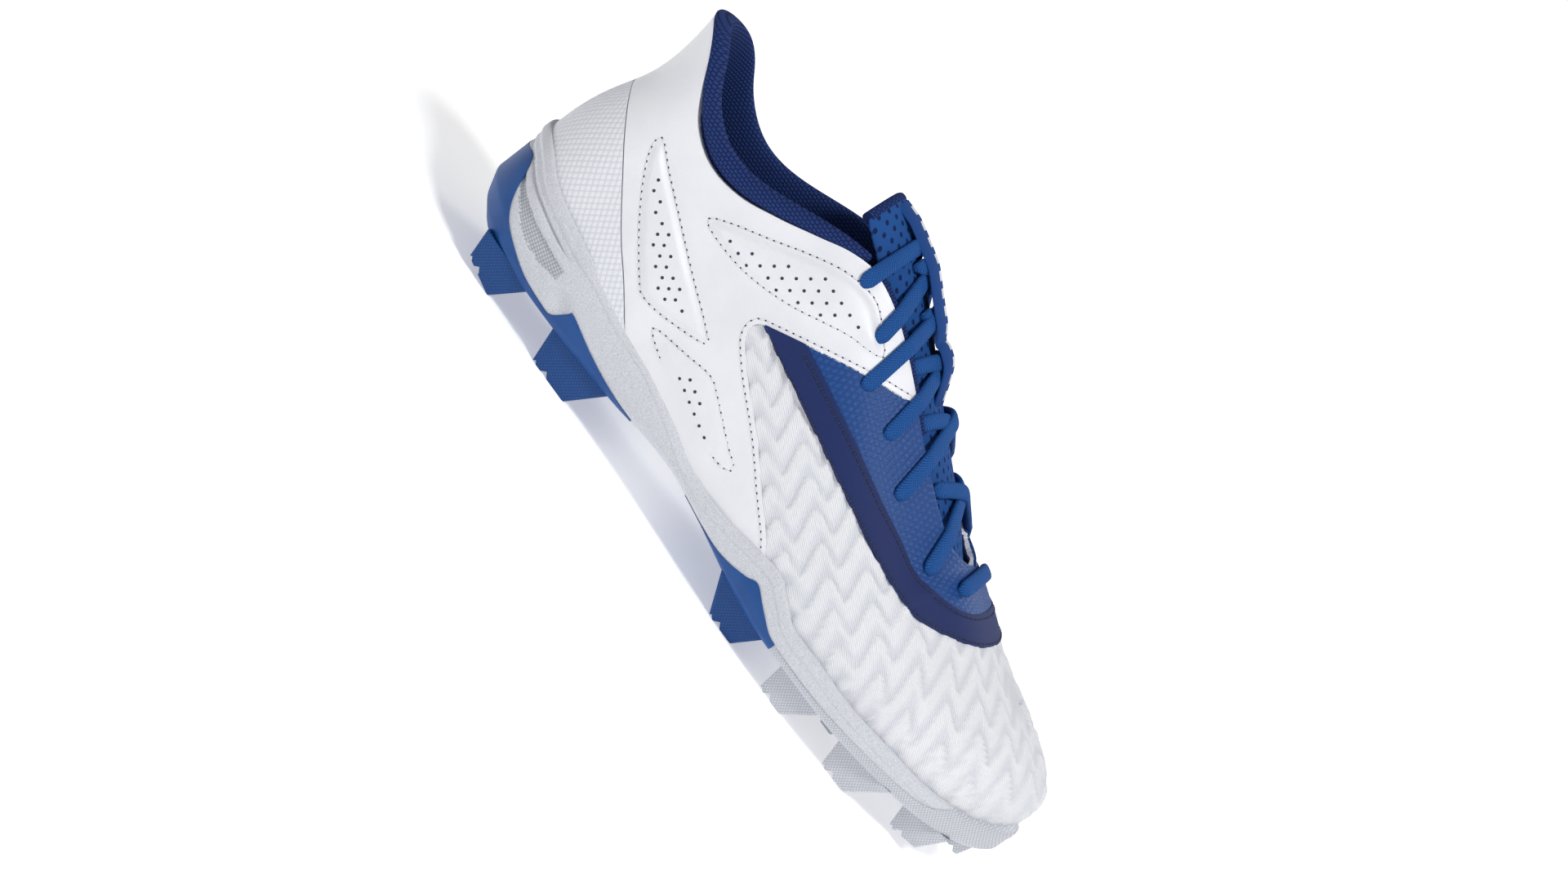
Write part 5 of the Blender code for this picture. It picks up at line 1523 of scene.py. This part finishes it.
# Soft parts inside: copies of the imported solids, made fine
def softened_copy(node_name, name, levels, swell):
    piece = copy_of(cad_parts[node_name], name)
    edit(piece)
    bpy.ops.mesh.remove_doubles(threshold=0.01 * MM)
    bpy.ops.mesh.tris_convert_to_quads(
        face_threshold=math.radians(60), shape_threshold=math.radians(70)
    )
    leave()
    modify(piece, "SUBSURF", levels=levels, render_levels=levels)
    if swell:
        modify(piece, "DISPLACE", strength=swell, mid_level=0.0, direction="NORMAL")
    smooth_shade(piece)
    return piece


def lay_flow(piece, rule):
    """Pattern places of a piece from a rule on its points."""
    mesh = piece.data
    layer_made = mesh.uv_layers.get("flow") or mesh.uv_layers.new(name="flow")
    places = [rule(vertex.co) for vertex in mesh.vertices]
    values = [places[loop.vertex_index] for loop in mesh.loops]
    layer_made.data.foreach_set("uv", np.array(values).reshape(-1))


COLLAR_RADIUS = 27 * MM      # round the heel, for the pattern only


def round_collar(point):
    """Length round the collar from the back, and height."""
    centre = BACK + HEEL_CENTRE * LENGTH
    side = 1 if point.y > MIDDLE else -1
    if point.x < centre:
        run = COLLAR_RADIUS * math.atan2(abs(point.y - MIDDLE), centre - point.x)
    else:
        run = COLLAR_RADIUS * math.pi / 2 + point.x - centre
    return side * run * PER_FLOW, point.z * PER_FLOW


LINING = softened_copy("collar_lining", "collar_roll", 3, 0.75 * MM)
lay_flow(LINING, round_collar)
dressed(LINING, "knit", "navy_knit", "collar_lining")

TONGUE = softened_copy("tongue", "tongue_pad", 3, 0.1 * MM)
lay_flow(TONGUE, lambda p: (p.y * PER_FLOW, p.x * 1.2 * PER_FLOW))
dressed(TONGUE, "tongue", "blue_mesh", "tongue")

INSOLE = softened_copy("insole", "footbed", 2, 0.0)
lay_flow(INSOLE, lambda p: (p.x * PER_FLOW, p.y * PER_FLOW))
dressed(INSOLE, "knit", "insole_foam", "insole")


# Laces
def tree_of(*things):
    depsgraph = bpy.context.evaluated_depsgraph_get()
    return [BVHTree.FromObject(thing, depsgraph) for thing in things]


TREES = tree_of(QUARTER, PANEL, BAND, TONGUE)


def top_of(spot, trees):
    """Highest surface over a spot, and its normal."""
    best, way = None, Vector((0.0, 0.0, 1.0))
    for tree in trees:
        point, normal = tree.ray_cast(Vector((spot.x, spot.y, SKY)), DOWN)[:2]
        if point and (best is None or point.z > best):
            best, way = point.z, normal
    return best or 0.0, way


def lace_hole(row, side):
    x, reach = LACE_ROWS[row][:2]
    return Vector((BACK + x * LENGTH, spine(x) + side * reach * BALL_WIDTH))


def far_end(row, side):
    near = LACE_ROWS[row][1]
    share = (near + LACE_ROWS[row][2]) / (near + LACE_ROWS[row - 1][1])
    return lace_hole(row, side).lerp(lace_hole(row - 1, -side), share)


SETTLE_PASSES = 14


def settled(heights):
    """Heights drawn taut: never under the support, bridging its dips."""
    hull = []
    for i, height in enumerate(heights):
        while len(hull) > 1:
            (i0, h0), (i1, h1) = hull[-2:]
            if (h1 - h0) * (i - i0) >= (height - h0) * (i1 - i0):
                break
            hull.pop()
        hull.append((i, height))
    line = np.interp(range(len(heights)), [i for i, h in hull], [h for i, h in hull])
    line = 0.5 * line + 0.5 * np.maximum(line, heights)
    for _ in range(SETTLE_PASSES):
        even = 0.25 * line[:-2] + 0.5 * line[1:-1] + 0.25 * line[2:]
        line[1:-1] = np.maximum(even, heights[1:-1])
    return line


def oval(centre, across, up, width, thick, count=16, power=0.78):
    ring = []
    for i in range(count):
        a = 2 * math.pi * i / count
        c, s = math.cos(a), math.sin(a)
        u = math.copysign(abs(c) ** power, c) * width / 2
        v = math.copysign(abs(s) ** power, s) * thick / 2
        ring.append(centre + across * u + up * v)
    return ring


# Bend of a lace end into its hole: down and ahead in mm, and its share of the width
LACE_BENDS = (
    (5.0, 1.2, 0.45), (3.2, 1.9, 0.44), (1.9, 2.4, 0.50), (1.1, 2.5, 0.62), (0.6, 2.2, 0.76),
    (0.25, 1.6, 0.90), (0.05, 0.8, 0.98),
)


LACE_STEPS = 46
LACE_PROBES = (-0.42, -0.2, 0.0, 0.2, 0.42)      # shares of its width
CROSSING_WIDTH = 6.5 * MM    # half length of the hump where one lace crosses another
CROSSING_LIFT = 1.9 * MM
LACE_GAP = 0.15 * MM
TURN_PASSES = 6


def lace(name, start, end, lift):
    """A flat lace over what lies below it, both ends diving in."""
    samples = [start.lerp(end, i / (LACE_STEPS - 1)) for i in range(LACE_STEPS)]
    along = (end - start).normalized()
    across = Vector((-along.y, along.x))
    raised = []
    ways = []
    for spot in samples:
        heights = []
        way = Vector((0.0, 0.0, 0.0))
        for shift in LACE_PROBES:
            height, normal = top_of(spot + across * LACE_WIDTH * shift, TREES)
            heights.append(height)
            way += normal if normal.z > 0 else -normal
        raised.append(max(heights) * 0.5 + sum(heights) / 10)
        ways.append(way.normalized())
    hump = [lift * math.exp(-((p.y - MIDDLE) / CROSSING_WIDTH) ** 2) for p in samples]
    line = settled(np.array(raised) + np.array(hump) + LACE_THICKNESS / 2 + LACE_GAP)
    path = [Vector((p.x, p.y, z)) for p, z in zip(samples, line)]
    for _ in range(TURN_PASSES):
        ways = [ways[0]] + [
            (a + b * 2 + c).normalized() for a, b, c in zip(ways, ways[1:], ways[2:])
        ] + [ways[-1]]
    rings = []

    def dive(point, way, run):
        """Rings that carry an end round and down into its hole."""
        found = []
        for down, ahead, wide in LACE_BENDS:
            centre = point + run * ahead * MM - way * down * MM
            turn = math.atan2(down, ahead + 0.6)
            heading = way * math.cos(turn) + run * math.sin(turn)
            found.append((centre, heading, wide))
        return found

    first_run = (path[0] - path[1]).normalized()
    last_run = (path[-1] - path[-2]).normalized()
    frames = dive(path[0], ways[0], first_run)
    frames += [(point, way, 1.0) for point, way in zip(path, ways)]
    frames += reversed(dive(path[-1], ways[-1], last_run))
    for i, (centre, up, wide) in enumerate(frames):
        before = frames[max(i - 1, 0)][0]
        after = frames[min(i + 1, len(frames) - 1)][0]
        run = (after - before).normalized()
        side = up.cross(run).normalized()
        true_up = run.cross(side).normalized()
        rings.append(oval(centre, side, true_up, LACE_WIDTH * wide, LACE_THICKNESS))
    piece = bar(name, rings)
    smooth_shade(piece, 60)
    return piece


STRANDS = []
for row in range(len(LACE_ROWS)):
    if row in (0, len(LACE_ROWS) - 1):
        name = "top" if row == 0 else "bar"
        strand = lace("strand_" + name, lace_hole(row, -1), lace_hole(row, 1), 0.0)
    else:
        name = "cross_" + str(row + 1)
        over = 1 if row % 2 else -1
        strand = lace("strand_" + name, lace_hole(row, -over), far_end(row, -over), 0.0)
        crossing = lace(name + "_over", lace_hole(row, over), far_end(row, over), CROSSING_LIFT)
        only(strand, crossing)
        bpy.ops.object.join()
    STRANDS.append(dressed(strand, "lace", "blue_lace", "lace_" + name))


# Tape down the tongue, over the laces: x, and height over what it lies on in mm
TAPE_LINE = (
    (0.326, -0.6), (0.338, 0.0), (0.352, 0.5), (0.378, 0.0), (0.412, 0.2), (0.450, 0.0),
    (0.470, 0.2), (0.483, -1.6), (0.492, 0.4), (0.508, 0.9), (0.524, 0.4), (0.540, -0.8),
)


TAPE_GAP = 0.75 * MM


def tape():
    trees = tree_of(TONGUE, *STRANDS[:4])
    places = [row[0] for row in TAPE_LINE]
    lifts = [row[1] for row in TAPE_LINE]
    stations = np.linspace(places[0], places[-1], 100)
    heights = []
    for x in stations:
        across = [
            top_of(Vector((BACK + x * LENGTH, spine(x) + y * TAPE_WIDTH)), trees)[0]
            for y in (-0.4, 0.0, 0.4)
        ]
        heights.append(max(across))
    curve = []
    for x, z in zip(stations, settled(np.array(heights))):
        lift = np.interp(x, places, lifts) * MM
        curve.append(Vector((BACK + x * LENGTH, z + lift + TAPE_GAP)))
    curve = rounded(curve[::4] + [curve[-1]], 110)
    rings = []
    for i, spot in enumerate(curve):
        before = curve[max(i - 1, 0)]
        after = curve[min(i + 1, len(curve) - 1)]
        run = Vector((after.x - before.x, 0.0, after.y - before.y)).normalized()
        across = Vector((0.0, 1.0, 0.0))
        up = run.cross(across).normalized()
        centre = Vector((spot.x, spine((spot.x - BACK) / LENGTH), spot.y))
        up = up if up.z > 0 else -up
        ring = oval(centre, across, up, TAPE_WIDTH, TAPE_THICKNESS, 24, 0.35)
        for point in ring:
            point.z -= TAPE_CROWN * ((point.y - centre.y) / (TAPE_WIDTH / 2)) ** 2
        rings.append(ring)
    piece = bar("keeper_tape", rings)
    smooth_shade(piece, 50)
    return dressed(piece, "tape", "blue_lace", "lace_keeper")


tape()


# Lining strip along the inside of the throat edge, and the binding of the tongue's top
STRIP_SPAN = (0.366, 0.560)
STRIP_SIZE = (4.2 * MM, 2.8 * MM)     # width and thickness
STRIP_SHIFT = (1.5 * MM, 0.5 * MM)    # inward and up from the edge
BINDING_WIDTH = 4.4 * MM
BINDING_REACH = 0.97         # share of the tongue's half width


def throat_strip():
    made = []
    for side in (-1, 1):
        rings = []
        line = [upper_section(x, side, 2, 6)[-1] for x in np.linspace(*STRIP_SPAN, 60)]
        for before, here, after in zip(line, line[1:], line[2:]):
            run = (after - before).normalized()
            inward = Vector((0.0, -side, 0.0))
            up = run.cross(inward).normalized()
            up = up if up.z > 0 else -up
            centre = here + inward * STRIP_SHIFT[0] + up * STRIP_SHIFT[1]
            rings.append(oval(centre, inward, up, *STRIP_SIZE, 12, 0.8))
        made.append(bar("strip" + str(side), rings))
    only(*made)
    bpy.ops.object.join()
    piece = bpy.context.object
    piece.name = "throat_strip"
    smooth_shade(piece, 60)
    return dressed(piece, "knit", "navy_knit")


throat_strip()


def tongue_binding():
    """Bound edge along the top of the tongue, as thick as the pad there."""
    tree = tree_of(TONGUE)[0]
    x, half = TONGUE_TOP
    rings = []
    for share in np.linspace(-BINDING_REACH, BINDING_REACH, 41):
        aside = spine(x) + float(share) * half * BALL_WIDTH
        top = tree.ray_cast(Vector((BACK + (x + 0.008) * LENGTH, aside, SKY)), DOWN)[0]
        if top is None:
            continue
        low = tree.ray_cast(top + DOWN * 0.3 * MM, DOWN)[0]
        thick = (top.z - low.z if low else 4 * MM) + 1.0 * MM
        centre = Vector((BACK + (x + 0.001) * LENGTH, top.y, top.z + 0.5 * MM - thick / 2))
        rings.append(oval(centre, Vector((1.0, 0.0, 0.0)), -DOWN, BINDING_WIDTH, thick))
    piece = bar("tongue_binding", rings)
    smooth_shade(piece, 60)
    return dressed(piece, "knit", "navy_knit")


tongue_binding()


# Stitches and punched holes, the holes' insides as painted shade
STITCH_PITCH = 2.6 * MM
STITCH_SIZE = (2.1 * MM / 2, 0.62 * MM / 2, 0.62 * MM / 2)    # half length, width and height
DOT_SIZE = (0.42 * MM, 0.30 * MM, 0.12 * MM)


def stitched(name, lines, look_name, slot, offset):
    """Thread dashes along lines on the upper, with a dark dot at each end as painted shade of the
    needle hole.
    """
    bpy.ops.mesh.primitive_uv_sphere_add(segments=6, ring_count=4, radius=1.0)
    model = bpy.context.object
    places = []
    dots = []
    for line in lines:
        spots = rounded(line, max(2, round(curve_length(line) / STITCH_PITCH)))
        for a, b in zip(spots, spots[1:]):
            point, way = on_skin((a + b) / 2)
            side = way.cross((b - a).normalized()).normalized()
            axes = (side.cross(way), side, way)
            thread, dot = (
                Matrix([axis * size for axis, size in zip(axes, sizes)]).transposed().to_4x4()
                for sizes in (STITCH_SIZE, DOT_SIZE)
            )
            place = point + way * offset
            places.append(Matrix.Translation(place) @ thread)
            dots.append(Matrix.Translation(place + (a - b) / 2) @ dot)
    piece = strewn(name, model, places)
    # Dots with the dark finish: painted shade of the needle holes.
    holes = strewn(name + "_dots", model, dots)
    remove(model)
    smooth_shade(holes)
    dressed(holes, "dark", slot)
    smooth_shade(piece)
    return dressed(piece, look_name, slot)


def side_lines(line):
    """A side-view line laid on both sides of the upper."""
    return [[from_side(spot, side)[0] for spot in line] for side in (-1, 1)]


BASE = CLEARANCE + OVERLAY + 0.06 * MM        # height of a stitch over the skin
STITCH_MARGIN = 1.3 * MM
saddle_edge = shifted(FRONT_EDGE[4:] + STRIP_EDGE[1:-1], STITCH_MARGIN)
white_lines = side_lines(rounded(saddle_edge, 120))
stitched("saddle_stitches", white_lines, "white_thread", "white_leather", BASE)
pad_lines = []
for ring in PADS.values():
    pad_lines += side_lines(ring + ring[:1])
stitched("pad_stitches", pad_lines, "white_thread", "white_leather", BASE + 0.05 * MM)

band_rows = [
    [a.lerp(b, share) for a, b in zip(OUTER_SEAM[side], INNER_SEAM[side])][3:]
    for side in (-1, 1) for share in (0.10, 0.90)
]
stitched("band_stitches", band_rows, "navy_thread", "navy_band", BASE + BAND_PROUD)


HOLE_RADIUS = 0.62 * MM
HOLE_DEPTH = 0.3 * MM
HOLE_SINK = 0.12 * MM


def punched():
    """Small dark cups set into the pads: painted shade inside the punched holes."""
    bpy.ops.mesh.primitive_cylinder_add(vertices=14, radius=HOLE_RADIUS, depth=HOLE_DEPTH)
    model = bpy.context.object
    tree = tree_of(QUARTER)[0]
    places = []
    for side in (-1, 1):
        for spot in HOLES:
            start = Vector((spot.x, side * SLAB, spot.y))
            point, way = tree.ray_cast(start, Vector((0.0, -side, 0.0)))[:2]
            if point is None:
                continue
            turn = way.to_track_quat("Z", "Y").to_matrix().to_4x4()
            places.append(Matrix.Translation(point - way * HOLE_SINK) @ turn)
    piece = strewn("pad_hole_shade", model, places)
    remove(model)
    return dressed(piece, "dark", "white_leather")


punched()
remove(SKIN)


# Floor and light
FLOOR_SIZE = 400.0
GLOW_REACH = (0.5, 3.0)      # behind the shoe, where the floor's glow starts and stops rising
GLOW = (0.42, 0.80)
SKY_STRENGTH = 0.24
LIGHTS = (
    # name, place, size, power
    ("key", (1.05, -1.35, 2.60), 0.6, 56.0),
    ("side", (-2.2, -1.9, 1.6), 1.2, 7.0),
    ("back", (1.4, 2.6, 2.2), 1.4, 30.0),
)
LIGHT_AIM = (0.0, 0.0, 0.05)


def studio():
    """A pale floor that glows more with distance, three soft lights and an even sky."""
    bpy.ops.mesh.primitive_plane_add(size=FLOOR_SIZE)
    floor = bpy.context.object
    floor.name = "floor"
    pale = finish("pale_floor", (0.93, 0.93, 0.94), 0.9, emission_color=(1, 1, 1, 1))
    shader = pale.node_tree.nodes["Principled BSDF"]
    place = node(pale, "SeparateXYZ", {"Vector": node(pale, "TexCoord").outputs["Object"]})
    far = node(pale, "MapRange", {
        "Value": place.outputs["Y"], "From Min": GLOW_REACH[0], "From Max": GLOW_REACH[1],
        "To Min": GLOW[0], "To Max": GLOW[1],
    })
    pale.node_tree.links.new(far.outputs["Result"], shader.inputs["Emission Strength"])
    floor.data.materials.append(pale)
    world = bpy.data.worlds.new("studio")
    bpy.context.scene.world = world
    world.use_nodes = True
    sky = world.node_tree.nodes["Background"]
    sky.inputs["Color"].default_value = (1.0, 1.0, 1.0, 1.0)
    sky.inputs["Strength"].default_value = SKY_STRENGTH
    for name, place, size, power in LIGHTS:
        light = bpy.data.lights.new(name, "AREA")
        light.size = size
        light.energy = power
        lamp = bpy.data.objects.new(name, light)
        bpy.context.scene.collection.objects.link(lamp)
        lamp.location = place
        lamp.rotation_mode = "QUATERNION"
        aim = Vector(LIGHT_AIM) - Vector(place)
        lamp.rotation_quaternion = aim.to_track_quat("-Z", "Y")
    bpy.context.scene.view_settings.view_transform = "Standard"


studio()
